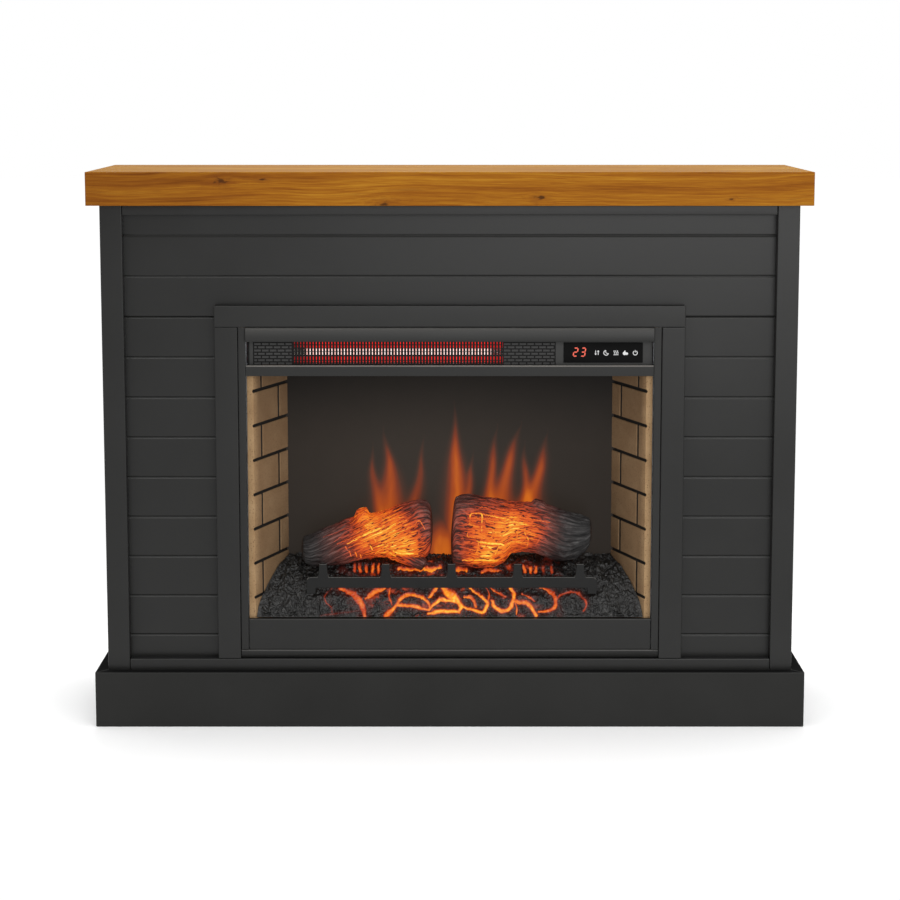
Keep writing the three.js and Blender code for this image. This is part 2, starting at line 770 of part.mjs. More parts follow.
// A long cross-flow wheel: discs on a shaft, with blades round the rim.
function addBlower() {
  const [x0, x1] = BLOWER_X;
  const shaftOut = 9;
  const pieces = [cylinderX(ROD_R, x0 - shaftOut, x1 + shaftOut, 0, 0)];
  for (let i = 0; i < DISCS; i++) {
    const x = x0 + ((x1 - x0 - DISC_T) * i) / (DISCS - 1);
    pieces.push(cylinderX(BLOWER_R, x, x + DISC_T, 0, 0, 2 * BLOWER_BLADES));
  }
  const rim = BLOWER_R - 0.8;
  for (let i = 0; i < BLOWER_BLADES; i++) {
    const blade = boxGeometry([x0 + 0.5, x1 - 0.5], [rim - BLADE_DEPTH, rim], [-BLADE_T / 2, BLADE_T / 2]);
    pieces.push(blade.rotateX((2 * Math.PI * (i + 0.5)) / BLOWER_BLADES));
  }
  add("blower_wheel", join(pieces).translate(0, BLOWER_Y, BLOWER_Z), motorMetal);
  const motorX = [x1 + shaftOut + 1, x1 + shaftOut + 1 + BLOWER_MOTOR_L];
  add("blower_motor", cylinderX(BLOWER_MOTOR_R, ...motorX, BLOWER_Y, BLOWER_Z, ROUND_SIDES), motorMetal);
  // The bent sheet behind and over the wheel is open towards the front, below.
  const outer = arcPoints(BLOWER_Y, BLOWER_Z, HOUSING_R + HOUSING_T, -0.28 * Math.PI, 0.62 * Math.PI, 9);
  const inner = arcPoints(BLOWER_Y, BLOWER_Z, HOUSING_R, 0.62 * Math.PI, -0.28 * Math.PI, 9);
  add("blower_housing", alongX([...outer, ...inner], x0 - 3, x1 + 3), galvanised);
}

const POWER_BOARD_X = 300;

function addPowerBoard() {
  const onBoard = (reach, y, z) => boxGeometry([POWER_BOARD_X - reach, POWER_BOARD_X + 0.5], y, z);
  const pieces = [
    boxGeometry([POWER_BOARD_X, POWER_BOARD_X + 1.6], [8, 84], [470, 570]),
    onBoard(19, [14, 40], [480, 510]),
    onBoard(16, [48, 64], [482, 502]),
    onBoard(16, [48, 64], [508, 528]),
    onBoard(11, [16, 76], [548, 562]),
  ];
  add("power_board", join(pieces), boardGreen);
}

// The bush in the rear cover that the mains lead passes through: a flanged sleeve along Y.
function addCordGland() {
  const bore = 4;
  const tail = SHEET + 12;
  const profile = [
    [bore, -6],
    [GLAND_R, -6],
    [GLAND_R, SHEET + GAP],
    [GLAND_R + 4, SHEET + GAP],
    [GLAND_R + 3, SHEET + 4],
    [bore + 3, tail],
    [bore, tail],
    [bore, -6],
  ].map(([r, h]) => new THREE.Vector2(r, h));
  const gland = new THREE.LatheGeometry(profile, SHAFT_SIDES);
  add("cord_gland", gland.translate(GLAND_X, rearY, GLAND_Z), rubber);
}

addShelf();
addCarcass();
addRails();
addPlinth();
addCladding();
addSurround();
addChassis();
addRearCover();
addFaceTrims();
addHood();
addSillAndFascia();
addHeaterStrip();
addControls();
addHeaterGuard();
addHeatingElement();
addFirebox();
addEmberBed();
addLogs();
addGrate();
addFlameRotor();
addLights();
addBlower();
addPowerBoard();
addCordGland();

export default part;
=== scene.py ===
import math
from itertools import product

import bmesh
import bpy
import numpy as np
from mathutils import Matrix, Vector


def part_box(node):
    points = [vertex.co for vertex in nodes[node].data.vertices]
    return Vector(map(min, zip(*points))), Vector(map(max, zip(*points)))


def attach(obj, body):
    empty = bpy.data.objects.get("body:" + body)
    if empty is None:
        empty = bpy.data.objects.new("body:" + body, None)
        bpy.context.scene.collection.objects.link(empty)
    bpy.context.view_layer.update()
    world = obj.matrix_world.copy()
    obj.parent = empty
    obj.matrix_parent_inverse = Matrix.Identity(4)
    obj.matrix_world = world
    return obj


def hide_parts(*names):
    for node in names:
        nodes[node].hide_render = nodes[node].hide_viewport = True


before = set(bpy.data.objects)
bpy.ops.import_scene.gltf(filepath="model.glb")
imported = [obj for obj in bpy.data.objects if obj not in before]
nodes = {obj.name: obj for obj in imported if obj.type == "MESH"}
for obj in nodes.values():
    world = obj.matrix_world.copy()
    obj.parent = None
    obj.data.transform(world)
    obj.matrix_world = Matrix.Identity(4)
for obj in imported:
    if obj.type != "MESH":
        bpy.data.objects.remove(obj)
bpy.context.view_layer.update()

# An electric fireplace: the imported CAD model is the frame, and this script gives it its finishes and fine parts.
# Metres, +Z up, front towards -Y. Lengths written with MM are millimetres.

MM = 0.001
BODY = "fireplace"


def srgb(red, green, blue):
    """A display colour, 0 to 255, as the linear colour with alpha that Blender's sockets take."""
    def linear(value):
        value /= 255
        return value / 12.92 if value <= 0.04045 else ((value + 0.055) / 1.055) ** 2.4
    return (linear(red), linear(green), linear(blue), 1.0)


def shade(colour):
    """Three numbers as a display colour; a socket or a linear colour with alpha as it is."""
    return srgb(*colour) if isinstance(colour, tuple) and len(colour) == 3 else colour


# ------------------------------------------------------------------ camera, lights and floor

LENS = 83.65  # mm, on a sensor 36 mm wide
LENS_SHIFT = -0.12
CAMERA_PLACE = (0.0003, -3.5025, 1.0526)
CAMERA_PITCH = 7.015  # degrees below level


def add_camera():
    data = bpy.data.cameras.new("camera")
    data.lens = LENS
    data.sensor_width = 36
    data.shift_y = LENS_SHIFT
    data.clip_start = 0.05
    data.clip_end = 100
    camera = bpy.data.objects.new("camera", data)
    camera.location = CAMERA_PLACE
    camera.rotation_euler = (math.radians(90 - CAMERA_PITCH), 0, 0)
    bpy.context.scene.collection.objects.link(camera)
    bpy.context.scene.camera = camera


def add_softbox(name, place, aim, width, height, power):
    data = bpy.data.lights.new(name, "AREA")
    data.shape = "RECTANGLE"
    data.size = width
    data.size_y = height
    data.energy = power
    light = bpy.data.objects.new(name, data)
    light.location = place
    light.rotation_euler = (Vector(aim) - Vector(place)).to_track_quat("-Z", "Y").to_euler()
    bpy.context.scene.collection.objects.link(light)


def add_lights():
    add_softbox("key", (1.0, -3.3, 1.4), (0.3, 0, 0.7), 2.8, 1.9, 55)
    add_softbox("overhead", (0, -0.2, 3.4), (0, -0.1, 0), 4.0, 3.0, 84)
    add_softbox("back", (0, 3.4, 2.6), (0, 0, 0.4), 3.0, 1.5, 50)


def add_world():
    """White as the camera sees it, and a softer grey for the light and reflections it gives."""
    world = bpy.data.worlds.new("studio")
    world.use_nodes = True
    tree = world.node_tree
    tree.nodes.clear()
    seen = tree.nodes.new("ShaderNodeBackground")
    seen.inputs["Color"].default_value = (1, 1, 1, 1)
    seen.inputs["Strength"].default_value = 1.0
    cast = tree.nodes.new("ShaderNodeBackground")
    cast.inputs["Color"].default_value = (1, 1, 1, 1)
    cast.inputs["Strength"].default_value = 0.5
    path = tree.nodes.new("ShaderNodeLightPath")
    mix = tree.nodes.new("ShaderNodeMixShader")
    out = tree.nodes.new("ShaderNodeOutputWorld")
    tree.links.new(path.outputs["Is Camera Ray"], mix.inputs[0])
    tree.links.new(cast.outputs[0], mix.inputs[1])
    tree.links.new(seen.outputs[0], mix.inputs[2])
    tree.links.new(mix.outputs[0], out.inputs["Surface"])
    bpy.context.scene.world = world


def add_floor():
    half = 20
    mesh = bpy.data.meshes.new("floor")
    mesh.from_pydata([(-half, -half, 0), (half, -half, 0), (half, half, 0), (-half, half, 0)], [], [(0, 1, 2, 3)])
    floor = bpy.data.objects.new("floor", mesh)
    bpy.context.scene.collection.objects.link(floor)
    mesh.materials.append(floor_material())


# ------------------------------------------------------------------ shader building

class Shader:
    """A material's node tree, with short calls for the nodes used here. Inputs go by name or number."""

    def __init__(self, name):
        self.material = bpy.data.materials.new(name)
        self.material.use_nodes = True
        self.tree = self.material.node_tree
        self.tree.nodes.clear()

    def node(self, kind, inputs=None, **settings):
        made = self.tree.nodes.new("ShaderNode" + kind)
        for key, value in settings.items():
            setattr(made, key, value)
        for key, value in (inputs or {}).items():
            if isinstance(value, bpy.types.NodeSocket):
                self.tree.links.new(value, made.inputs[key])
            else:
                made.inputs[key].default_value = value
        return made

    def position(self, scale=(1, 1, 1)):
        """Metres in the object's own frame, stretched by scale."""
        where = self.node("TexCoord").outputs["Object"]
        return self.node("Mapping", {"Vector": where, "Scale": scale}).outputs["Vector"]

    def attribute(self, name):
        return self.node("Attribute", attribute_name=name).outputs["Fac"]

    def combine(self, x, y, z=0.0):
        return self.node("CombineXYZ", {"X": x, "Y": y, "Z": z}).outputs[0]

    def noise(self, vector, scale, detail=4, roughness=0.55, distortion=0):
        made = self.node("TexNoise", {"Vector": vector, "Scale": scale, "Detail": detail,
                                      "Roughness": roughness, "Distortion": distortion})
        return made.outputs["Fac"]

    def cloudy(self, scale, *rest):
        """Even noise over the object."""
        return self.noise(self.position(), scale, *rest)

    def stretched(self, scales, *rest):
        """Noise with its own scale along each axis."""
        return self.noise(self.position(scales), 1.0, *rest)

    def voronoi(self, vector, scale):
        return self.node("TexVoronoi", {"Vector": vector, "Scale": scale}).outputs["Distance"]

    def math(self, operation, a, b=0.0):
        return self.node("Math", {0: a, 1: b}, operation=operation).outputs[0]

    def times(self, a, b):
        return self.math("MULTIPLY", a, b)

    def plus(self, a, b):
        return self.math("ADD", a, b)

    def minus(self, a, b):
        return self.math("SUBTRACT", a, b)

    def most(self, a, b):
        return self.math("MAXIMUM", a, b)

    def weighted(self, first, second):
        """The sum of two values, each given with its weight."""
        return self.plus(self.times(*first), self.times(*second))

    def step(self, value, low, high, to_low=0.0, to_high=1.0):
        """Smoothly from to_low to to_high as value goes from low to high."""
        inputs = {0: value, 1: low, 2: high, 3: to_low, 4: to_high}
        return self.node("MapRange", inputs, interpolation_type="SMOOTHSTEP").outputs[0]

    def ramp(self, value, *stops):
        made = self.node("ValToRGB", {"Fac": value})
        elements = made.color_ramp.elements
        while len(elements) < len(stops):
            elements.new(1.0)
        for element, (place, colour) in zip(elements, stops):
            element.position = place
            element.color = shade(colour)
        return made.outputs["Color"]

    def mix(self, amount, a, b, blend="MIX"):
        made = self.node("Mix", {0: amount, 6: shade(a), 7: shade(b)}, data_type="RGBA", blend_type=blend)
        return made.outputs[2]

    def upward(self):
        """How far the surface faces up, from -1 to 1."""
        return self.node("SeparateXYZ", {0: self.node("TexCoord").outputs["Normal"]}).outputs["Z"]

    def lit_edges(self, colour, light):
        """The colour, with a painted highlight on rounded edges that face up and out."""
        up = self.upward()
        # How much painted highlight each place gets: most on faces tilted up and out, none on flat tops or uprights.
        edge = self.times(self.step(up, 0.02, 0.62), self.step(up, 0.84, 0.97, 1.0, 0.0))
        return self.mix(edge, colour, light)

    def bump(self, height, distance, strength=1.0):
        return self.node("Bump", {"Height": height, "Distance": distance, "Strength": strength}).outputs["Normal"]

    def finish(self, colour, roughness, normal=None, specular=0.5, metallic=0.0, glow=None, strength=0.0):
        """Closes the tree with one surface, and gives the material."""
        inputs = {"Base Color": shade(colour), "Roughness": roughness,
                  "Specular IOR Level": specular, "Metallic": metallic}
        if normal is not None:
            inputs["Normal"] = normal
        if glow is not None:
            inputs.update({"Emission Color": glow, "Emission Strength": strength})
        surface = self.node("BsdfPrincipled", inputs)
        self.node("OutputMaterial", {"Surface": surface.outputs[0]})
        return self.material


def floor_material():
    """Pale matt floor that fades into the white of the background away from the object."""
    shader = Shader("studio_floor")
    where = shader.node("VectorMath", {0: shader.position()}, operation="ABSOLUTE").outputs[0]
    beyond = shader.node("VectorMath", {0: where, 1: (0.584, 0.152, 0)}, operation="SUBTRACT").outputs[0]
    beyond = shader.node("VectorMath", {0: beyond, 1: (0, 0, 0)}, operation="MAXIMUM").outputs[0]
    away = shader.node("VectorMath", {0: beyond}, operation="LENGTH").outputs["Value"]
    soft = shader.cloudy(3, 3)
    pale = shader.ramp(soft, (0.3, (0.85, 0.85, 0.85, 1)), (0.7, (0.87, 0.87, 0.87, 1)))
    colour = shader.mix(shader.step(away, 0.0, 0.7), pale, (0, 0, 0, 1))
    own_light = shader.step(away, 0.0, 0.6, 0.2, 1.0)
    return shader.finish(colour, 0.6, specular=0.1, glow=(1, 1, 1, 1), strength=own_light)


# ------------------------------------------------------------------ materials

# Knots on the front face of the shelf: x, z, radius of the core and how far the grain is pushed aside, in mm.
KNOTS = (
    (-366, 900, 5.6, 5.0), (-105, 862.5, 5.4, 5.5), (147, 873, 4.2, 4.5), (-300, 902, 2.4, 2.5),
    (452, 871, 1.8, 2.5),
)


def timber_material():
    """Stained softwood: soft bands and fine fibres along X that part round the knots, and rings on the ends."""
    shader = Shader("stained_timber")
    where = shader.node("TexCoord").outputs["Object"]
    face_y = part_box("mantel_shelf")[0][1]
    pushed, core_dark, halo = None, None, None
    ragged = shader.stretched((90, 90, 260), 3, 0.6)
    for x, z, size, push in KNOTS:
        offset = shader.node("VectorMath", {0: where, 1: (x * MM, face_y, z * MM)}, operation="SUBTRACT").outputs[0]
        oval = shader.node("VectorMath", {0: offset, 1: (0.42, 0.6, 1)}, operation="MULTIPLY").outputs[0]
        away = shader.node("VectorMath", {0: oval}, operation="LENGTH").outputs["Value"]
        near = shader.step(away, size * 0.4 * MM, size * 4.5 * MM, 1.0, 0.0)
        above = shader.node("SeparateXYZ", {0: offset}).outputs["Z"]
        side = shader.step(above, -size * MM, size * MM, -1.0, 1.0)
        shift = shader.times(shader.times(near, side), push * MM)
        torn = shader.times(away, shader.step(ragged, 0.3, 0.7, 0.55, 1.9))
        core = shader.step(torn, size * 0.30 * MM, size * 0.95 * MM, 1.0, 0.0)
        ring = shader.step(torn, size * 0.6 * MM, size * 3.4 * MM, 1.0, 0.0)
        pushed = shift if pushed is None else shader.plus(pushed, shift)
        core_dark = core if core_dark is None else shader.most(core_dark, core)
        halo = ring if halo is None else shader.most(halo, ring)
    sway = shader.stretched((1.7, 3, 3), 3)
    ripple = shader.stretched((9, 30, 30), 3)
    bend = shader.weighted((sway, 0.085), (ripple, 0.004))
    bend = shader.minus(bend, pushed)
    split = shader.node("SeparateXYZ", {0: where})
    across = shader.plus(split.outputs["Y"], shader.times(bend, 0.6))
    up = shader.plus(shader.minus(split.outputs["Z"], 0.62), bend)
    radius = shader.node("VectorMath", {0: shader.combine(across, up)}, operation="LENGTH").outputs["Value"]
    streaks = shader.combine(shader.times(split.outputs["X"], 2.2), shader.times(radius, 95.0),
                             shader.times(across, 30.0))
    band = shader.noise(streaks, 1.0, 3, 0.55)
    lines = shader.combine(shader.times(split.outputs["X"], 5.0), shader.times(radius, 420.0),
                           shader.times(across, 160.0))
    ring_line = shader.noise(lines, 1.0, 3, 0.6)
    fibre = shader.stretched((26, 640, 640), 3, 0.65)
    cloud = shader.stretched((2.6, 9, 14), 2)
    grain = shader.weighted((band, 0.44), (ring_line, 0.34))
    grain = shader.plus(grain, shader.times(fibre, 0.22))
    grain = shader.plus(grain, shader.times(cloud, 0.14))
    colour = shader.ramp(
        grain,
        (0.40, (102, 54, 14)),
        (0.52, (132, 77, 20)),
        (0.61, (150, 95, 25)),
        (0.72, (172, 120, 36)),
    )
    dark_lines = shader.step(ring_line, 0.58, 0.70, 0.0, 0.6)
    colour = shader.mix(dark_lines, colour, (116, 66, 24))
    colour = shader.mix(shader.times(halo, 0.35), colour, (112, 60, 22))
    colour = shader.mix(shader.times(core_dark, 0.85), colour, (58, 34, 18))
    # Painted shade: the wood runs darker toward the left end, where the key light falls off.
    colour = shader.mix(shader.step(split.outputs["X"], -0.58, -0.2, 0.2, 0.0), colour, (84, 42, 14))
    # Painted light: the top face is tinted lighter and yellower, standing in for the light it catches from above.
    top = shader.step(shader.upward(), 0.5, 0.95)
    colour = shader.mix(shader.times(top, 0.35), colour, (150, 95, 25))
    colour = shader.mix(top, colour, (1.12, 1.40, 1.9, 1), "MULTIPLY")
    normal = shader.bump(shader.plus(fibre, ring_line), 0.00025, 0.45)
    rough = shader.step(fibre, 0.3, 0.7, 0.64, 0.74)
    return shader.finish(colour, rough, normal=normal, specular=0.04)


def paint_material(name, tone, gloss):
    """Charcoal paint on board: fine roller texture over a faint grain, and a slightly uneven sheen."""
    shader = Shader(name)
    cloud = shader.cloudy(6, 4)
    roller = shader.cloudy(900, 2, 0.6)
    grain = shader.stretched((14, 300, 300), 3)
    colour = shader.ramp(cloud, (0.3, (tone, tone, tone - 1)), (0.7, (tone + 4, tone + 4, tone + 3)))
    # Painted highlight on rounded edges that face up and out, such as the lower lips of the V-grooves.
    colour = shader.lit_edges(colour, (50, 50, 49))
    # Painted shade: faces that look straight up, such as the plinth's top ledge, are darkened toward black and made
    # rougher.
    painted_ledge_shade = shader.step(shader.upward(), 0.97, 0.995)
    colour = shader.mix(painted_ledge_shade, colour, (20, 20, 20))
    rough = shader.plus(shader.step(cloud, 0.3, 0.7, 0.29, 0.34), shader.times(painted_ledge_shade, 0.6))
    texture = shader.weighted((roller, 0.7), (grain, 0.5))
    normal = shader.bump(texture, 0.00022, 0.35)
    return shader.finish(colour, rough, normal=normal, specular=gloss)


def raw_board_material():
    """Uncoated board: pressed chips of several browns."""
    shader = Shader("raw_board")
    chips = shader.node("TexVoronoi", {"Vector": shader.position((1, 1, 1.6)), "Scale": 330})
    tone = shader.node("SeparateColor", {0: chips.outputs["Color"]}).outputs[0]
    cloud = shader.cloudy(9, 4)
    mixed = shader.weighted((tone, 0.6), (cloud, 0.4))
    colour = shader.ramp(mixed, (0.2, (132, 105, 76)), (0.5, (154, 126, 94)), (0.85, (176, 148, 115)))
    normal = shader.bump(mixed, 0.0004, 0.5)
    return shader.finish(colour, 0.85, normal=normal, specular=0.2)


def powder_coat_material(name, light, dark, roughness, edge=(74, 73, 71)):
    """Satin powder coat on steel: fine speckle and orange peel, with a painted highlight in the edge colour along the
    folds and other rounded edges that face up.
    """
    shader = Shader(name)
    speckle = shader.cloudy(1500, 2)
    peel = shader.cloudy(420, 2)
    cloud = shader.cloudy(5, 3)
    mixed = shader.weighted((speckle, 0.5), (cloud, 0.5))
    colour = shader.ramp(mixed, (0.35, dark), (0.65, light))
    # Painted highlight: rounded edges that face up and out are lightened toward the edge colour.
    colour = shader.lit_edges(colour, edge)
    rough = shader.step(cloud, 0.3, 0.7, roughness - 0.04, roughness + 0.05)
    normal = shader.bump(peel, 0.00015, 0.4)
    return shader.finish(colour, rough, normal=normal, specular=0.22)


def galvanised_material():
    """Zinc-coated sheet: a faint crystal spangle and rolling marks."""
    shader = Shader("galvanised_sheet")
    crystals = shader.node("TexVoronoi", {"Vector": shader.position(), "Scale": 95})
    tone = shader.node("SeparateColor", {0: crystals.outputs["Color"]}).outputs[0]
    marks = shader.stretched((4, 4, 260), 3)
    mixed = shader.weighted((tone, 0.5), (marks, 0.5))
    colour = shader.ramp(mixed, (0.2, (138, 141, 144)), (0.8, (176, 179, 182)))
    rough = shader.step(mixed, 0.2, 0.8, 0.32, 0.5)
    normal = shader.bump(marks, 0.0001, 0.3)
    return shader.finish(colour, rough, metallic=0.9, normal=normal)


def brick_material():
    """Cast brickwork: tan faces with pores and blotches; the joint attribute is 1 in the raked joints."""
    shader = Shader("cast_brick")
    blotch = shader.cloudy(24, 5)
    grit = shader.cloudy(620, 3, 0.7)
    mixed = shader.weighted((blotch, 0.55), (grit, 0.45))
    colour = shader.ramp(mixed, (0.3, (132, 103, 72)), (0.5, (157, 127, 92)), (0.72, (178, 149, 113)))
    pores = shader.voronoi(shader.position(), 230)
    pore = shader.step(pores, 0.12, 0.30, 0.7, 0.0)
    colour = shader.mix(pore, colour, (96, 72, 48))
    # Painted shade: the wall behind the front lip is darkened, more so toward the top under the sill.
    painted_shade_amount = shader.attribute("soot")
    colour = shader.mix(painted_shade_amount, colour, (98, 74, 52))
    joint = shader.attribute("joint")
    colour = shader.mix(shader.step(joint, 0.25, 0.6), colour, (26, 23, 20))
    height = shader.minus(shader.times(grit, 0.5), shader.times(pore, 0.9))
    normal = shader.bump(height, 0.0006, 0.6)
    return shader.finish(colour, 0.88, normal=normal, specular=0.25)


def screen_material():
    """Smoked acrylic with the flame picture thrown on it: blaze and haze are attributes of the sheet."""
    shader = Shader("flame_screen_acrylic")
    mottle = shader.cloudy(30, 3)
    base = shader.ramp(mottle, (0.3, (13, 11, 9)), (0.7, (17, 14, 12)))
    flame = shader.attribute("blaze")
    wisp = shader.stretched((26, 1, 7), 3)
    body = shader.times(flame, shader.step(wisp, 0.25, 0.6, 0.72, 1.0))
    fire = shader.ramp(
        body,
        (0.0, (0, 0, 0, 1)),
        (0.22, (58, 24, 12)),
        (0.5, (114, 40, 10)),
        (0.78, (162, 66, 10)),
        (1.0, (208, 104, 18)),
    )
    haze = shader.mix(shader.attribute("haze"), (0, 0, 0, 1), (56, 49, 43))
    glow = shader.mix(1.0, fire, haze, "ADD")
    return shader.finish(base, 0.4, specular=0.08, glow=glow, strength=1.0)


def log_material():
    """Moulded log lit from inside. Attributes: along and round run over the bark, warmth says how much light comes
    through the bark, vein marks the cracks that glow brightest, cut is 1 on the sawn ends and core runs from 0 in the
    middle of an end to 1 at its rim."""
    shader = Shader("lit_log")
    along = shader.attribute("along")
    around = shader.attribute("round")
    warmth = shader.attribute("warmth")
    relief = shader.attribute("relief")

    def bark(across, lengthways, detail, rough):
        place = shader.combine(shader.times(along, across), shader.times(around, lengthways))
        return shader.noise(place, 1.0, detail, rough, 0.7)

    grain = bark(30.0, 250.0, 4, 0.62)
    thread = bark(46.0, 640.0, 3, 0.6)
    dash = bark(95.0, 460.0, 2, 0.5)
    patches = shader.cloudy(34, 3)
    brown = shader.ramp(grain, (0.32, (24, 17, 16)), (0.5, (62, 42, 38)), (0.72, (112, 86, 80)))
    ash = shader.ramp(grain, (0.32, (18, 18, 18)), (0.52, (46, 45, 45)), (0.75, (88, 87, 86)))
    base = shader.mix(shader.step(warmth, 0.02, 0.24, 1.0, 0.0), brown, ash)
    base = shader.mix(shader.step(relief, 0.30, 0.05, 0.0, 0.7), base, (14, 11, 10))
    base = shader.mix(shader.step(warmth, 0.25, 0.7, 0.0, 0.92), base, (34, 9, 4))
    cut = shader.attribute("cut")
    ring = shader.plus(shader.times(shader.attribute("core"), 46.0), shader.times(patches, 9.0))
    face = shader.mix(shader.step(shader.math("SINE", ring), -0.5, 0.8), (60, 45, 38), (25, 19, 17))
    base = shader.mix(cut, base, face)
    dark = shader.step(dash, 0.55, 0.64, 0.0, 0.8)
    streak = shader.weighted((thread, 0.55), (grain, 0.45))
    gap = shader.step(warmth, 0.3, 1.0, 0.1, 0.66)
    lit = shader.minus(1.0, shader.times(shader.step(streak, 0.40, 0.56, 1.0, 0.0),
                                                   shader.minus(1.0, gap)))
    body = shader.times(lit, shader.step(patches, 0.3, 0.7, 0.9, 1.08))
    body = shader.times(body, shader.minus(1.0, dark))
    ember = shader.times(shader.times(warmth, body), 0.79)
    split = shader.times(shader.step(bark(24.0, 480.0, 2, 0.5), 0.57, 0.66, 0.0, 0.26),
                        shader.step(warmth, 0.35, 0.8))
    ember = shader.plus(ember, split)
    worn = shader.step(bark(130.0, 200.0, 2, 0.5), 0.34, 0.5, 0.72, 1.0)
    ember = shader.most(ember, shader.times(shader.attribute("vein"), worn))
    bark_only = shader.minus(1.0, cut)
    ember = shader.times(ember, bark_only)
    glow = shader.ramp(
        ember,
        (0.0, (0, 0, 0, 1)),
        (0.16, (70, 22, 14)),
        (0.34, (158, 52, 22)),
        (0.54, (222, 88, 24)),
        (0.74, (244, 132, 30)),
        (0.90, (252, 190, 56)),
        (1.0, (255, 224, 96)),
    )
    height = shader.weighted((grain, 0.8), (thread, 0.4))
    height = shader.times(height, bark_only)
    normal = shader.bump(height, 0.0014, 0.8)
    return shader.finish(base, 0.6, normal=normal, specular=0.16, glow=glow, strength=1.0)


def ember_material():
    """Moulded coals: black crinkled lumps, with light in the cracks and loops that warmth marks."""
    shader = Shader("lit_coals")
    heat = shader.attribute("warmth")
    relief = shader.attribute("relief")
    crinkle = shader.cloudy(240, 4, 0.62)
    broad = shader.cloudy(60, 3)
    base = shader.ramp(crinkle, (0.34, (10, 10, 10)), (0.54, (26, 25, 24)), (0.74, (76, 75, 72)))
    base = shader.mix(shader.step(relief, 0.40, 0.0, 0.0, 0.9), base, (9, 8, 7))
    flicker = shader.step(broad, 0.3, 0.65, 0.75, 1.12)
    ember = shader.times(heat, flicker)
    glow = shader.ramp(
        ember,
        (0.0, (0, 0, 0, 1)),
        (0.22, (70, 16, 8)),
        (0.45, (190, 62, 18)),
        (0.68, (238, 122, 32)),
        (0.88, (252, 162, 40)),
        (1.0, (255, 200, 70)),
    )
    normal = shader.bump(crinkle, 0.0016, 0.8)
    return shader.finish(base, 0.42, normal=normal, specular=0.48, glow=glow, strength=1.0)


def iron_material():
    shader = Shader("stove_enamel")
    cast = shader.cloudy(700, 3, 0.65)
    cloud = shader.cloudy(30, 3)
    colour = shader.ramp(cloud, (0.3, (20, 20, 20)), (0.7, (27, 27, 26)))
    # Painted highlight: rounded edges of the grate that face up and out are lightened.
    colour = shader.lit_edges(colour, (104, 103, 100))
    rough = shader.step(cloud, 0.3, 0.7, 0.5, 0.62)
    normal = shader.bump(cast, 0.0003, 0.6)
    return shader.finish(colour, rough, normal=normal, specular=0.2)


def black_glass_material():
    shader = Shader("panel_glass")
    smear = shader.stretched((8, 1, 30), 4)
    colour = shader.ramp(smear, (0.4, (0.0045, 0.0045, 0.0045, 1)), (0.8, (0.007, 0.007, 0.007, 1)))
    rough = shader.step(smear, 0.35, 0.7, 0.07, 0.16)
    return shader.finish(colour, rough, specular=0.03)


def lamp_material(name, colour, strength):
    """A printed sign lit from behind through a slightly uneven film."""
    shader = Shader(name)
    film = shader.cloudy(900, 2)
    light = shader.ramp(film, (0.3, tuple(0.86 * c for c in colour[:3]) + (1,)), (0.7, colour))
    return shader.finish((0.02, 0.02, 0.02, 1), 0.4, glow=light, strength=strength)


def tube_material():
    """Lit quartz tube: white heat, with the coil's turns showing through it and a cold right end."""
    shader = Shader("lit_quartz")
    coil = shader.node("TexWave", {"Vector": shader.position(), "Scale": 90, "Distortion": 0.6},
                       wave_type="BANDS", bands_direction="X").outputs["Fac"]
    glow = shader.ramp(coil, (0.2, (255, 190, 178)), (0.7, (255, 236, 230)))
    along = shader.node("SeparateXYZ", {0: shader.position()}).outputs["X"]
    right_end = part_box("quartz_tube")[1][0]
    cold = shader.step(along, right_end - 22 * MM, right_end - 12 * MM)
    glow = shader.mix(cold, glow, (92, 20, 18))
    return shader.finish((0.9, 0.7, 0.65, 1), 0.15, glow=glow, strength=1.35)


def reflector_material():
    """The trough behind the tube, soaked in its red light."""
    shader = Shader("lit_reflector")
    ripple = shader.stretched((40, 4, 60), 3)
    glow = shader.ramp(ripple, (0.3, (196, 22, 18)), (0.7, (232, 42, 34)))
    along = shader.node("SeparateXYZ", {0: shader.position()}).outputs["X"]
    left_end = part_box("reflector")[0][0]
    glow = shader.mix(shader.step(along, left_end, left_end + 30 * MM, 0.72, 0.0), glow, (60, 6, 6))
    return shader.finish((70, 12, 10), 0.55, specular=0.1, glow=glow, strength=1.3)


def plain_material(name, light, dark, roughness, scale, depth, metallic=0.0):
    """A simple stock finish: two close tones, uneven roughness and a fine bump."""
    shader = Shader(name)
    tone = shader.cloudy(scale, 4)
    colour = shader.ramp(tone, (0.3, dark), (0.7, light))
    rough = shader.step(tone, 0.3, 0.7, roughness - 0.05, roughness + 0.05)
    normal = shader.bump(tone, depth, 0.5)
    return shader.finish(colour, rough, metallic=metallic, normal=normal)


# ------------------------------------------------------------------ mesh building

def add_piece(name, mesh, material, slot, *replaced):
    """Puts a mesh in the scene as a finished piece that rides on the fireplace."""
    piece = bpy.data.objects.new(name, mesh)
    bpy.context.scene.collection.objects.link(piece)
    mesh.materials.append(material)
    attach(piece, BODY)
    if replaced:
        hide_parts(*replaced)
    return piece


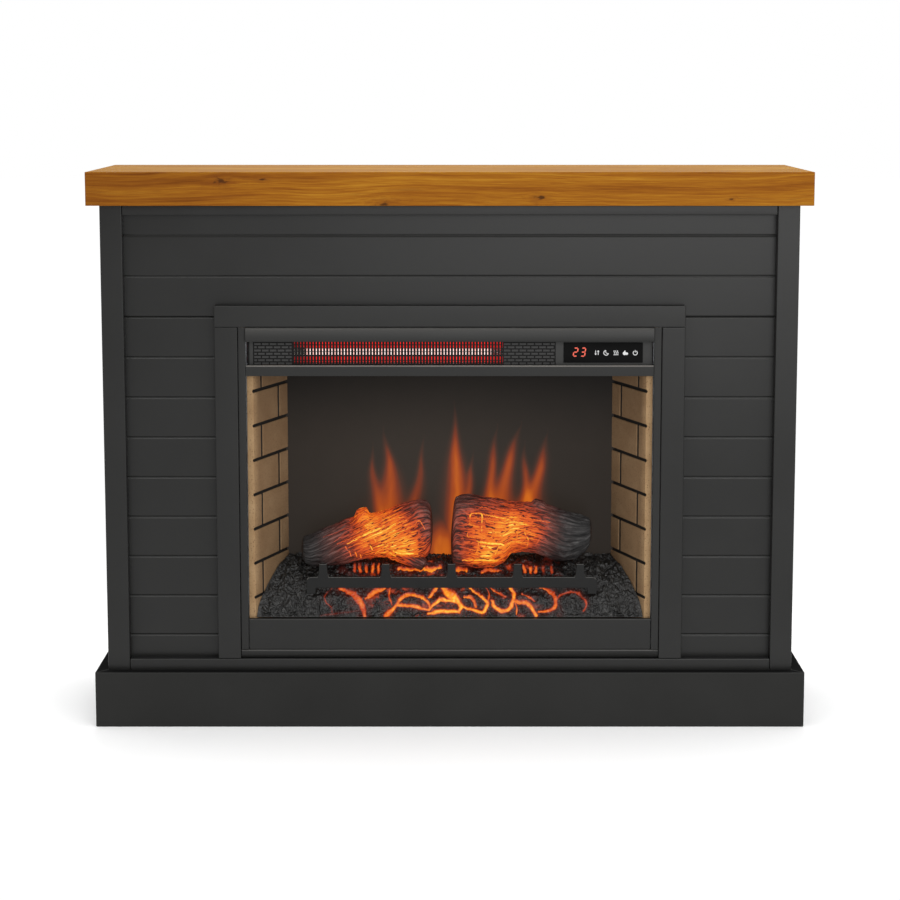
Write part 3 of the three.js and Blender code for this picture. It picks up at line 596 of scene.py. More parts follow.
def sheet_mesh(name, points, closed_rows=False, **attributes):
    """A mesh from a grid of points (rows, columns, 3) in metres, with a number at each point for each attribute."""
    rows, columns = points.shape[:2]
    index = np.arange(rows * columns).reshape(rows, columns)
    if closed_rows:
        index = np.hstack([index, index[:, :1]])
    quads = np.stack([index[:-1, :-1], index[:-1, 1:], index[1:, 1:], index[1:, :-1]], axis=-1).reshape(-1, 4)
    mesh = bpy.data.meshes.new(name)
    mesh.from_pydata(points.reshape(-1, 3), [], quads)
    for key, values in attributes.items():
        layer = mesh.attributes.new(key, "FLOAT", "POINT")
        layer.data.foreach_set("value", np.ascontiguousarray(values, dtype=np.float32).reshape(-1))
    mesh.shade_smooth()
    mesh.update()
    return mesh


def block(builder, low, high, bevel=0.0):
    """Adds a box between two corners, in mm, to a bmesh, with its edges rounded."""
    low, high = np.array(low) * MM, np.array(high) * MM
    made = bmesh.ops.create_cube(builder, size=1)["verts"]
    for vert in made:
        vert.co = Vector([low[i] if vert.co[i] < 0 else high[i] for i in range(3)])
    if bevel:
        edges = list({edge for vert in made for edge in vert.link_edges})
        bmesh.ops.bevel(builder, geom=edges, offset=bevel * MM, segments=2, profile=0.6, affect="EDGES")


def built_mesh(name, builder, smooth=False):
    mesh = bpy.data.meshes.new(name)
    bmesh.ops.recalc_face_normals(builder, faces=builder.faces)
    builder.to_mesh(mesh)
    builder.free()
    if smooth:
        mesh.shade_smooth()
    return mesh


def add_built(name, builder, material, slot, *replaced, smooth=False):
    return add_piece(name, built_mesh(name, builder, smooth), material, slot, *replaced)


def box_mm(name):
    """The low and high corner of a CAD node, in mm."""
    return tuple(np.array(corner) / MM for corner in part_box(name))


LATTICE = np.random.default_rng(20).random((32, 32, 32))


def lattice_noise(points, scale, seed=0):
    """Smooth noise from -1 to 1 at points (..., 3), with features about 1 / scale across."""
    places = points * scale + seed * np.array([5.3, 11.7, 3.1])
    cell = np.floor(places).astype(int)
    part = places - cell
    part = part * part * (3 - 2 * part)
    total = 0.0
    for corner in product((0, 1), repeat=3):
        index = (cell + corner) % 32
        weight = np.prod(np.where(corner, part, 1 - part), axis=-1)
        total = total + weight * LATTICE[index[..., 0], index[..., 1], index[..., 2]]
    return total * 2 - 1


def fractal_noise(points, scale, octaves=4, gain=0.5, seed=0):
    total, height, size = 0.0, 1.0, 0.0
    for octave in range(octaves):
        total = total + height * lattice_noise(points, scale * 2 ** octave, seed + octave)
        size += height
        height *= gain
    return total / size


def smoothstep(low, high, value):
    part = np.clip((value - low) / (high - low), 0, 1)
    return part * part * (3 - 2 * part)


EYE = (-3502.5, 1052.6)  # where strands of light are laid out from, y and z


def smooth_path(points):
    """A curve through the points, close enough together to measure distances to."""
    steps = 14
    points = np.array(points, float)
    padded = np.vstack([2 * points[0] - points[1], points, 2 * points[-1] - points[-2]])
    t = np.linspace(0, 1, steps, endpoint=False)[:, None]
    line = []
    for p0, p1, p2, p3 in zip(padded, padded[1:], padded[2:], padded[3:]):
        line.append(0.5 * (2 * p1 + (p2 - p0) * t + (2 * p0 - 5 * p1 + 4 * p2 - p3) * t ** 2
                           + (3 * p1 - p0 - 3 * p2 + p3) * t ** 3))
    return np.vstack(line + [points[-1:]])


def strand_light(strands, seen_x, seen_z, spread, halo):
    """How brightly strands of light show at places seen from in front: a crisp core with a soft halo."""
    light = np.zeros_like(seen_x)
    for points, width, bright in strands:
        line = smooth_path(points)
        close = ((seen_x > line[:, 0].min() - 12) & (seen_x < line[:, 0].max() + 12)
                 & (seen_z > line[:, 1].min() - 12) & (seen_z < line[:, 1].max() + 12))
        gap = np.hypot(seen_x[close][:, None] - line[:, 0], seen_z[close][:, None] - line[:, 1])
        t = gap.argmin(axis=1) / (len(line) - 1)
        gap = gap.min(axis=1)
        swelling = spread * width * (0.55 + 0.65 * np.sin(np.pi * np.clip(t, 0.06, 0.94)) ** 0.6)
        core = np.exp(-((gap / swelling) ** 4))
        rim = np.exp(-((gap / (swelling * 2.3)) ** 2))
        light[close] = np.maximum(light[close], bright * ((1 - halo) * core + halo * rim))
    return light


# ------------------------------------------------------------------ finishes on the CAD nodes

def coat(names, material, bevel=0.8, segments=2):
    """Gives CAD nodes their material and rounds their edges, in mm."""
    for name in names:
        node = nodes[name]
        node.material_slots[0].link = "OBJECT"
        node.material_slots[0].material = material
        weld = node.modifiers.new("weld", "WELD")
        weld.merge_threshold = 0.00001
        if bevel:
            rounding = node.modifiers.new("rounding", "BEVEL")
            rounding.width = bevel * MM
            rounding.segments = segments
            rounding.limit_method = "ANGLE"
            rounding.angle_limit = math.radians(28)
            node.modifiers.new("normals", "WEIGHTED_NORMAL")


def coat_cabinet(timber, raw_board):
    paint = paint_material("charcoal_paint", 29, 0.25)
    coat(["mantel_shelf"], timber, 1.6, 3)
    coat(["side_panel_left", "side_panel_right", "left_column", "right_column", "top_rail", "bottom_rail",
          "surround_header", "surround_left", "surround_right"], paint, 1.5)
    # The plinth takes a copy of the paint with almost no sheen, so its top ledge shows no reflection; its lighter
    # base is painted light that makes up for the sheen its front faces lose.
    coat(["plinth_front", "plinth_left", "plinth_right"], paint_material("plinth_paint", 41, 0.04), 1.5)
    coat(["shiplap_upper", "shiplap_left", "shiplap_right"], paint, 0.9)
    coat(["cabinet_floor", "cabinet_top", "divider_left", "divider_right", "back_panel_left", "back_panel_right"],
         raw_board, 0.4, 1)


def coat_insert(coated, galvanised, iron, materials):
    coat(["trim_left", "trim_right", "trim_bottom", "hood", "bottom_fascia"], coated, 1.2)
    coat(["heater_sill"], coated, 0.4)
    coat(["chassis_left", "chassis_right", "chassis_top", "chassis_bottom", "rear_cover", "heat_shield",
          "firebox_tray", "rotor_bearing", "blower_housing"], galvanised, 0)
    coat(["grate"], iron, 1.6, 3)
    coat(["control_panel"], materials["glass"], 0.4)
    coat(["quartz_tube"], materials["tube"], 0)
    coat(["tube_cap_left", "tube_cap_right"], materials["ceramic"], 0.6)
    coat(["reflector"], materials["reflector"], 0)
    coat(["flame_rotor"], materials["mirror"], 0)
    coat(["blower_wheel", "rotor_motor", "blower_motor"], materials["motor"], 0)
    coat(["flame_led_board", "ember_led_board", "power_board"], materials["circuit"], 0)
    coat(["cord_gland"], materials["rubber"], 0.5)


# ------------------------------------------------------------------ brick side panels

BRICK_COURSE = 57.4
BRICK_TOP_JOINT = 554.8
BRICK_LENGTH = 127.0
FIRST_PERPEND = 30.2
JOINT_HALF = 2.6
PERPEND_HALF = 3.5
JOINT_DEPTH = 3.0
BRICK_LIP = 10.6


def brick_panel(side, material):
    """The visible skin of one splayed panel: front lip, rounded corner and wall, as one displaced sheet."""
    name = "brick_panel_" + ("left" if side < 0 else "right")
    low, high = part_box(name)
    z_low, z_high = low[2] / MM, high[2] / MM
    front_y, back_y = low[1] / MM, high[1] / MM
    outer_x = max(abs(low[0]), abs(high[0])) / MM
    inner_back_x = min(abs(low[0]), abs(high[0])) / MM
    corner_x = outer_x - BRICK_LIP
    run = math.hypot(corner_x - inner_back_x, back_y - front_y)
    toward = np.array([(inner_back_x - corner_x) / run, (back_y - front_y) / run])
    outward = np.array([-toward[1], toward[0]])  # from the wall into the firebox
    u = np.concatenate([np.arange(-BRICK_LIP, 0, 0.8), np.arange(0, run, 1.0), [run]])
    z = np.arange(z_low, z_high + 0.01, 0.9)
    grid_z, grid_u = np.meshgrid(z, u, indexing="ij")
    joint = np.zeros_like(grid_z)
    capsule = np.maximum(0.2 - grid_u, 0)
    courses = int((BRICK_TOP_JOINT - z_low) // BRICK_COURSE) + 1
    for i in range(courses + 1):
        bed_z = BRICK_TOP_JOINT - i * BRICK_COURSE
        reach = np.hypot(capsule, grid_z - bed_z)
        joint = np.maximum(joint, 1 - smoothstep(JOINT_HALF - 0.7, JOINT_HALF + 0.5, reach))
        above = (grid_z > bed_z) & (grid_z < bed_z + BRICK_COURSE)
        perpend = FIRST_PERPEND + (i % 2) * BRICK_LENGTH / 2
        upright = 1 - smoothstep(PERPEND_HALF - 0.8, PERPEND_HALF + 0.5, np.abs(grid_u - perpend))
        joint = np.maximum(joint, upright * above)
    on_wall = np.maximum(grid_u, 0)
    on_lip = np.minimum(grid_u, 0)
    x = corner_x + toward[0] * on_wall - on_lip
    y = front_y + toward[1] * on_wall
    flat = np.stack([x, y, grid_z], axis=-1)
    rough = fractal_noise(flat, 0.05, 3, seed=3) * 0.35 + fractal_noise(flat, 0.35, 3, seed=7) * 0.16
    depth = joint * JOINT_DEPTH + 0.45 - rough * (1 - joint)
    turn = smoothstep(-1.6, 1.6, grid_u)
    push_x = outward[0] * turn
    push_y = outward[1] * turn - (1 - turn)
    length = np.hypot(push_x, push_y)
    flat[..., 0] -= depth * push_x / length
    flat[..., 1] -= depth * push_y / length
    flat[..., 0] *= side
    # Painted shade on the wall: none on the front lip, more away from it, and more again toward the top under the
    # sill.
    soot = 0.85 * smoothstep(0, 22, grid_u) * (0.62 + 0.25 * smoothstep(420, z_high, grid_z))
    if side < 0:
        flat, joint, soot = (grid[:, ::-1] for grid in (flat, joint, soot))
    mesh = sheet_mesh(name + "_face", flat * MM, joint=joint, soot=soot)
    add_piece(name + "_face", mesh, material, "brick", name)


# ------------------------------------------------------------------ flame screen

# Each flame: foot x, foot z, tip x, tip z, half width at the foot, bow of its spine to the right, brightness. In mm.
FLAMES = (
    (-118, 322, -133, 446, 15, -4, 0.50),
    (-104, 316, -111, 470, 29, 6, 0.82),
    (-66, 322, -45, 458, 16, 6, 0.56),
    (8, 296, 6, 512, 27, 4, 0.92),
    (25, 330, 38, 434, 12, 4, 0.48),
    (68, 326, 81, 476, 18, -3, 0.74),
    (86, 322, 121, 480, 28, -4, 0.78),
    (131, 328, 127, 448, 16, -1, 0.60),
    (130, 320, 167, 466, 27, 4, 0.78),
)


def flame_screen(material):
    low, high = box_mm("flame_screen")
    step = 1.5
    x = np.arange(low[0], high[0] + 0.01, step)
    z = np.linspace(low[2], high[2], int((high[2] - low[2]) / step))
    grid_z, grid_x = np.meshgrid(z, x, indexing="ij")
    flame = np.zeros_like(grid_x)
    for foot_x, foot_z, tip_x, tip_z, half, bow, bright in FLAMES:
        t = (grid_z - foot_z) / (tip_z - foot_z)
        inside = np.clip(t, 0, 1)
        curl = 2.2 * np.sin(inside * 9 + foot_x * 0.7) * inside
        spine = foot_x + (tip_x - foot_x) * inside ** 1.25 + bow * np.sin(np.pi * inside) + curl
        width = half * (1 - inside) ** 0.85 * (1 - 0.16 * np.sin(inside * 7 + foot_x)) + 0.8
        across = np.abs(grid_x - spine) / width
        core = np.exp(-(across ** 2) * 1.7) * (across < 3)
        ends = smoothstep(-0.32, 0.05, t) * (1 - smoothstep(0.55, 1.02, t) * 0.92) * (t < 1.05)
        flame = flame + bright * core * ends * (1 - flame * 0.55)
    ball_x, ball_z, ball_wide, ball_high = -12, 262, 27, 50  # the low ball of fire between the logs
    ball = np.exp(-((((grid_x - ball_x) / ball_wide) ** 2 + ((grid_z - ball_z) / ball_high) ** 2) ** 1.6))
    flame = np.maximum(flame, 0.98 * ball)
    haze = np.exp(-(((grid_x + 40) / 240) ** 2) - ((grid_z - 400) / 160) ** 2)
    top = 1 - smoothstep(430, high[2], grid_z) * 0.95
    points = np.stack([grid_x, np.full_like(grid_x, low[1]), grid_z], axis=-1) * MM
    blaze = np.clip(flame, 0, 1)
    behind = (haze * 0.34 + 0.44 * top) * (1 - 0.7 * blaze)
    front = sheet_mesh("screen_front", points, blaze=blaze, haze=behind)
    add_piece("flame_screen_sheet", front, material, "screen", "flame_screen")


# ------------------------------------------------------------------ logs

# Side view of each log: x, top z, bottom z, half depth. In mm.
LEFT_LOG = (
    (-249, 296, 268, 13), (-243, 299, 256, 20), (-232, 303, 250, 25), (-214, 311, 250.5, 28), (-195, 319, 252, 30),
    (-172, 329, 256, 32), (-150, 334, 262, 33), (-125, 340, 265, 34), (-100, 346, 266, 35), (-75, 356, 262, 36),
    (-52, 362, 262, 37), (-38, 359, 268, 36), (-29, 346, 280, 30),
)
RIGHT_LOG = (
    (2, 318, 256, 26), (8, 366, 252, 34), (20, 370, 250, 38), (46, 368.5, 249.5, 38), (72, 364, 249.5, 38),
    (90, 360, 257, 36), (102, 358, 272, 33), (122, 357, 276, 32), (145, 356, 272, 32), (166, 352, 262, 31),
    (190, 343, 259, 30), (212, 337, 264, 28), (228, 333, 274, 25), (238, 329, 292, 20),
)
LOG_Y = -56.0
LOG_FACE = -88.0  # the plane the cracks are laid out on

# Glowing cracks on the fronts of the logs, as they show from in front: points (x, z), half width and glow.
LEFT_CRACKS = (
    (((-171, 294), (-154, 302), (-137, 311), (-122, 317), (-109, 325)), 1.0, 0.98),
    (((-168, 288), (-146, 296), (-124, 306), (-109, 315), (-94, 324), (-79, 332), (-71, 333)), 0.8, 0.90),
    (((-112, 329), (-100, 334), (-86, 338), (-71, 339)), 0.8, 0.88),
    (((-125, 339), (-109, 345), (-94, 349), (-79, 355)), 0.6, 0.74),
    (((-125, 277), (-112, 286), (-101, 293), (-86, 299), (-71, 306), (-56, 312)), 0.8, 0.92),
    (((-143, 326), (-136, 320)), 0.6, 0.88),
    (((-127, 305), (-123, 297)), 0.6, 0.90),
    (((-133, 291), (-129, 283)), 0.8, 0.92),
    (((-121, 289), (-112, 292)), 0.8, 0.92),
    (((-94, 282), (-82, 277), (-68, 277), (-54, 277)), 1.4, 1.0),
    (((-92, 288), (-74, 288), (-56, 288), (-41, 290)), 0.7, 0.80),
    (((-94, 294), (-74, 296), (-56, 296), (-38, 296)), 0.6, 0.72),
    (((-101, 299), (-83, 303), (-63, 305), (-41, 303)), 0.6, 0.70),
    (((-158, 339), (-151, 345), (-143, 346), (-137, 342), (-140, 337), (-148, 335)), 0.7, 0.82),
    (((-103, 281), (-94, 275), (-86, 270)), 0.9, 0.88),
    (((-174, 290), (-171, 282)), 0.7, 0.62),
    (((-168, 282), (-164, 273)), 0.8, 0.70),
    (((-158, 280), (-155, 273)), 0.8, 0.74),
    (((-150, 276), (-148, 270)), 0.8, 0.78),
    (((-211, 305), (-192, 312), (-174, 319), (-162, 323)), 0.5, 0.42),
    (((-195, 296), (-181, 305), (-162, 312)), 0.5, 0.46),
    (((-187, 294), (-168, 302), (-146, 311), (-127, 318)), 0.6, 0.66),
    (((-71, 321), (-59, 326), (-51, 333), (-44, 324), (-42, 318)), 0.6, 0.78),
    (((-150, 318), (-130, 325), (-112, 334)), 0.5, 0.70),
)
RIGHT_CRACKS = (
    (((33, 327), (34, 336), (35, 344), (44, 345), (53, 344), (53, 330), (53, 314)), 0.8, 0.94),
    (((55, 344), (75, 340), (96, 335), (121, 328)), 0.9, 0.98),
    (((40, 338), (63, 337), (83, 331), (103, 327)), 0.7, 0.90),
    (((77, 350), (100, 345), (125, 338), (150, 333), (166, 330)), 0.7, 0.78),
    (((50, 356), (67, 354)), 0.6, 0.72),
    (((73, 326), (91, 324), (121, 321)), 0.8, 0.92),
    (((77, 321), (90, 321), (101, 316)), 0.7, 0.88),
    (((42, 317), (63, 319), (62, 311), (55, 312)), 0.6, 0.80),
    (((30, 312), (31, 306), (55, 303), (70, 306), (72, 319)), 0.7, 0.86),
    (((52, 297), (63, 295), (77, 294), (86, 293), (90, 291)), 1.6, 1.0),
    (((48, 296), (47, 286), (43, 277)), 0.7, 0.88),
    (((57, 292), (63, 287), (65, 279)), 0.6, 0.80),
    (((83, 292), (77, 280), (75, 276)), 0.8, 0.92),
    (((21, 266), (42, 266), (63, 265), (81, 265)), 1.0, 0.92),
    (((91, 292), (106, 297), (120, 296)), 0.8, 0.90),
    (((126, 321), (125, 311), (130, 302), (129, 289)), 0.7, 0.90),
    (((121, 312), (133, 310), (146, 306)), 0.7, 0.82),
    (((113, 311), (111, 301)), 0.7, 0.82),
    (((150, 302), (143, 292)), 0.6, 0.64),
    (((30, 289), (31, 277)), 0.5, 0.60),
    (((88, 312), (104, 310)), 0.6, 0.80),
    (((96, 340), (118, 335), (140, 327)), 0.6, 0.76),
    (((84, 303), (100, 304), (110, 301)), 0.6, 0.78),
)


def log_mesh(name, stations, knots, heat_spots, cracks, twist, seed):
    """A closed skin round the stations, with bark ridges along the grain, knots that stand out and broken ends.
    The grain winds round the log by twist, in radians for each mm."""
    stations = np.array(stations, float)
    rows, columns = 340, 260
    x = np.linspace(stations[0, 0], stations[-1, 0], rows)
    kernel = np.ones(9) / 9

    def smoothed(column):
        line = np.interp(x, stations[:, 0], stations[:, column])
        return np.convolve(np.pad(line, 4, mode="edge"), kernel, mode="valid")

    top, bottom, half = smoothed(1), smoothed(2), smoothed(3)
    angle = np.linspace(0, 2 * np.pi, columns, endpoint=False)
    ring_x, ring_a = np.meshgrid(x, angle, indexing="ij")
    mid = ((top + bottom) / 2)[:, None]
    high = ((top - bottom) / 2)[:, None]
    cos, sin = np.cos(ring_a), np.sin(ring_a)
    square = (np.abs(cos) ** 2.5 + np.abs(sin) ** 2.5) ** (-1 / 2.5)
    girth = 0.5 * (half[:, None] + high)
    cover = np.stack([ring_x * 0.055, cos * 1.3, sin * 1.3], axis=-1)
    lumps = fractal_noise(cover, 1.0, 3, seed=seed) * 3.0
    wound = ring_a + twist * ring_x
    grain = np.stack([ring_x * 0.03 + lumps * 0.12, np.cos(wound) * 6.5, np.sin(wound) * 6.5], axis=-1)
    ridge = 1 - np.abs(fractal_noise(grain, 1.0, 4, 0.6, seed=seed + 4)) * 2.2
    fine = np.stack([ring_x * 0.13, np.cos(wound) * 19, np.sin(wound) * 19], axis=-1)
    fine_ridge = fractal_noise(fine, 1.0, 3, 0.6, seed=seed + 9)
    relief = np.clip(0.5 + 0.5 * ridge, 0, 1)
    swell = lumps * 0.8 + (relief - 0.78) * 3.4 + fine_ridge * 0.8
    for knot_x, knot_turn, size, height in knots:
        turn = np.abs((ring_a - knot_turn * np.pi + np.pi) % (2 * np.pi) - np.pi)
        away = np.hypot(ring_x - knot_x, turn * girth) / size
        ripple = 0.10 * height * np.sin(away * 11) * np.exp(-(away ** 2))
        swell = swell + height * np.exp(-(away ** 4)) - height * 0.3 * np.exp(-((away / 0.4) ** 2)) + ripple
    end = np.minimum(ring_x - x[0], x[-1] - ring_x)
    shrink = 0.25 + 0.75 * np.sqrt(np.clip(1 - (1 - np.clip(end / 5.0, 0, 1)) ** 2, 0, 1))
    swell = swell * (0.3 + 0.7 * smoothstep(0, 7, end))
    y = LOG_Y + (half[:, None] * square + swell) * shrink * cos
    z = mid + (high * square + swell) * shrink * sin

    heat = np.zeros_like(ring_x)
    for spot_x, spot_z, size_x, size_z, bright in heat_spots:
        away = np.abs((ring_x - spot_x) / size_x) ** 2.6
        heat = heat + bright * np.exp(-away - np.abs((z - spot_z) / size_z) ** 2.6)
    nearer = (LOG_FACE - EYE[0]) / (y - EYE[0])
    wander = np.stack([lattice_noise(cover, 9, seed + 2), lattice_noise(cover, 9, seed + 3)], axis=-1)
    seen_x = ring_x * nearer + wander[..., 0] * 0.9
    seen_z = EYE[1] - (EYE[1] - z) * nearer + wander[..., 1] * 0.9
    vein = strand_light(cracks, seen_x, seen_z, 1.3, 0.3) * smoothstep(0.0, -0.3, cos)
    points = np.stack([ring_x, y, z], axis=-1)
    ends = [np.repeat(row.mean(axis=0)[None, None], columns, axis=1) for row in (points[0], points[-1])]
    points = np.concatenate([ends[0], points, ends[1]])

    def capped(values):
        return np.concatenate([values[:1], values, values[-1:]])

    return sheet_mesh(
        name, points * MM, closed_rows=True, along=capped(ring_x) * MM, round=capped(wound * 36) * MM,
        warmth=capped(np.clip(heat, 0, 1)), relief=capped(relief), vein=capped(vein),
        cut=capped(1 - smoothstep(0, 4.5, end)), core=np.pad(np.ones_like(heat), ((1, 1), (0, 0))),
    )


def branch_stub(name, path, heats, seed):
    """A short broken branch: a knobbly tube along a path of (x, y, z, radius), with a heat for each of its points."""
    path = np.array(path, float)
    t = np.linspace(0, 1, 90)
    keys = np.linspace(0, 1, len(path))
    line = np.stack([np.interp(t, keys, path[:, i]) for i in range(4)], axis=-1)
    centre, radius = line[:, :3], line[:, 3]
    heading = np.gradient(centre, axis=0)
    heading /= np.linalg.norm(heading, axis=1)[:, None]
    side = np.cross(heading, (0, 1, 0))
    side /= np.linalg.norm(side, axis=1)[:, None]
    other = np.cross(heading, side)
    angle = np.linspace(0, 2 * np.pi, 100, endpoint=False)
    ring_t, ring_a = np.meshgrid(t, angle, indexing="ij")
    cover = np.stack([ring_t * 1.6, np.cos(ring_a) * 2.6, np.sin(ring_a) * 2.6], axis=-1)
    ridge = fractal_noise(cover, 1.0, 4, 0.6, seed=seed)
    closing = np.sqrt(np.clip(1 - smoothstep(0.9, 1.0, ring_t) ** 2, 0.0, 1))
    reach = (radius[:, None] * (1 + 0.11 * ridge)) * np.maximum(closing, 0.02)
    points = (centre[:, None] + reach[..., None] * (np.cos(ring_a)[..., None] * side[:, None]
                                                    + np.sin(ring_a)[..., None] * other[:, None]))
    heat = np.interp(ring_t, np.linspace(0, 1, len(heats)), heats)
    return sheet_mesh(
        name, points * MM, closed_rows=True, along=ring_t * 0.05, round=ring_a * 0.012,
        warmth=heat, relief=np.clip(0.6 + ridge, 0, 1), vein=np.zeros_like(heat),
    )


def add_logs(material):
    left = log_mesh(
        "log_left", LEFT_LOG,
        knots=((-147, 0.60, 13, 17), (-207, 1.15, 12, 4), (-55, 1.15, 20, 3), (-93, 1.45, 10, 6)),
        heat_spots=((-104, 307, 66, 54, 1.0), (-144, 344, 20, 24, 0.3), (-56, 280, 34, 26, 0.3),
                    (-176, 292, 40, 34, 0.14)),
        cracks=LEFT_CRACKS, twist=0.0062, seed=2,
    )
    add_piece("log_left_skin", left, material, "logs", "log_left")
    stub = branch_stub(
        "log_left_stub", ((-84, -66, 274, 15), (-66, -72, 267, 13.5), (-52, -76, 260, 12), (-41, -78, 254.5, 10)),
        heats=(0.7, 0.55, 0.3, 0.12), seed=6,
    )
    add_piece("log_left_stub", stub, material, "logs")
    right = log_mesh(
        "log_right", RIGHT_LOG,
        knots=((149, 0.56, 13, 9), (54, 1.3, 24, 3), (190, 1.12, 16, 5)),
        heat_spots=((76, 310, 68, 56, 0.95), (136, 322, 40, 34, 0.34), (58, 266, 36, 18, 0.4)),
        cracks=RIGHT_CRACKS, twist=-0.0012, seed=11,
    )
    add_piece("log_right_skin", right, material, "logs", "log_right")


# ------------------------------------------------------------------ ember bed

# The coals' profile from the front up to the back: y, z. In mm.
BED_TOP = (
    (-117.5, 177), (-114.5, 188), (-109, 199), (-101, 207.5), (-90, 216.5), (-73, 230), (-42, 249),
    (-6, 259.5),
)

# Strands of light in the coals, laid out as they show from in front: points (x, height), half width and glow.
STRANDS = (
    (((-195, 225), (-207, 212), (-206, 201), (-198, 193), (-196, 182)), 0.9, 0.34),
    (((-182, 224), (-163, 217), (-150, 203), (-144, 188), (-141, 177)), 3.2, 0.66),
    (((-214, 178), (-188, 180), (-149, 188)), 1.0, 0.30),
    (((-139, 207), (-127, 217), (-109, 226)), 2.4, 0.68),
    (((-100, 226), (-101, 212), (-97, 196)), 1.0, 0.58),
    (((-108, 177), (-95, 188), (-86, 201), (-76, 212), (-63, 215), (-47, 210), (-36, 199), (-33, 192)), 2.0, 0.84),
    (((-95, 188), (-87, 196), (-66, 195), (-47, 190), (-34, 187)), 1.9, 0.88),
    (((-108, 177), (-97, 186)), 3.0, 0.80),
    (((-35, 188), (-22, 201), (-3, 205), (12, 203), (20, 193), (16, 184)), 2.5, 0.96),
    (((-34, 180), (-13, 185), (16, 184)), 2.2, 0.98),
    (((-14, 230), (-7, 222), (0, 216), (9, 207), (20, 193)), 3.6, 1.08),
    (((-35, 210), (-26, 221), (-20, 228)), 1.7, 0.80),
    (((31, 226), (44, 217), (58, 206), (63, 198), (56, 183), (48, 183), (33, 190), (20, 193)), 1.9, 0.88),
    (((25, 209), (37, 206), (44, 192)), 1.6, 0.72),
    (((70, 204), (73, 193), (87, 185), (99, 191), (106, 204), (106, 217), (100, 227)), 2.1, 0.92),
    (((67, 228), (79, 218), (92, 211)), 1.1, 0.60),
    (((60, 226), (66, 214), (63, 200)), 0.9, 0.54),
    (((107, 201), (123, 200), (136, 191), (144, 178)), 2.5, 0.86),
    (((110, 198), (111, 179)), 1.0, 0.70),
    (((120, 216), (131, 209), (141, 202)), 1.3, 0.52),
    (((147, 228), (164, 222), (174, 210), (176, 196), (165, 185), (148, 185)), 2.0, 0.70),
    (((176, 203), (186, 215), (203, 218), (219, 212), (226, 199), (222, 186)), 1.5, 0.44),
    (((-84, 255), (-66, 256), (-48, 254)), 2.2, 0.80),
    (((-56, 260), (-34, 256), (-16, 262)), 2.4, 0.78),
    (((4, 254), (16, 258), (28, 255)), 2.4, 0.72),
    (((52, 252), (66, 256), (84, 254)), 2.0, 0.66),
)
# Short upright cells of light behind the bar: x, glow.
CELLS = ((-157, 0.44), (-149, 0.62), (-139, 0.66), (-128, 0.72), (-118, 0.70), (124, 0.66), (134, 0.80),
         (142, 0.74), (155, 0.36), (168, 0.36))
SEEN_AT = -110.0  # the plane their heights are read on


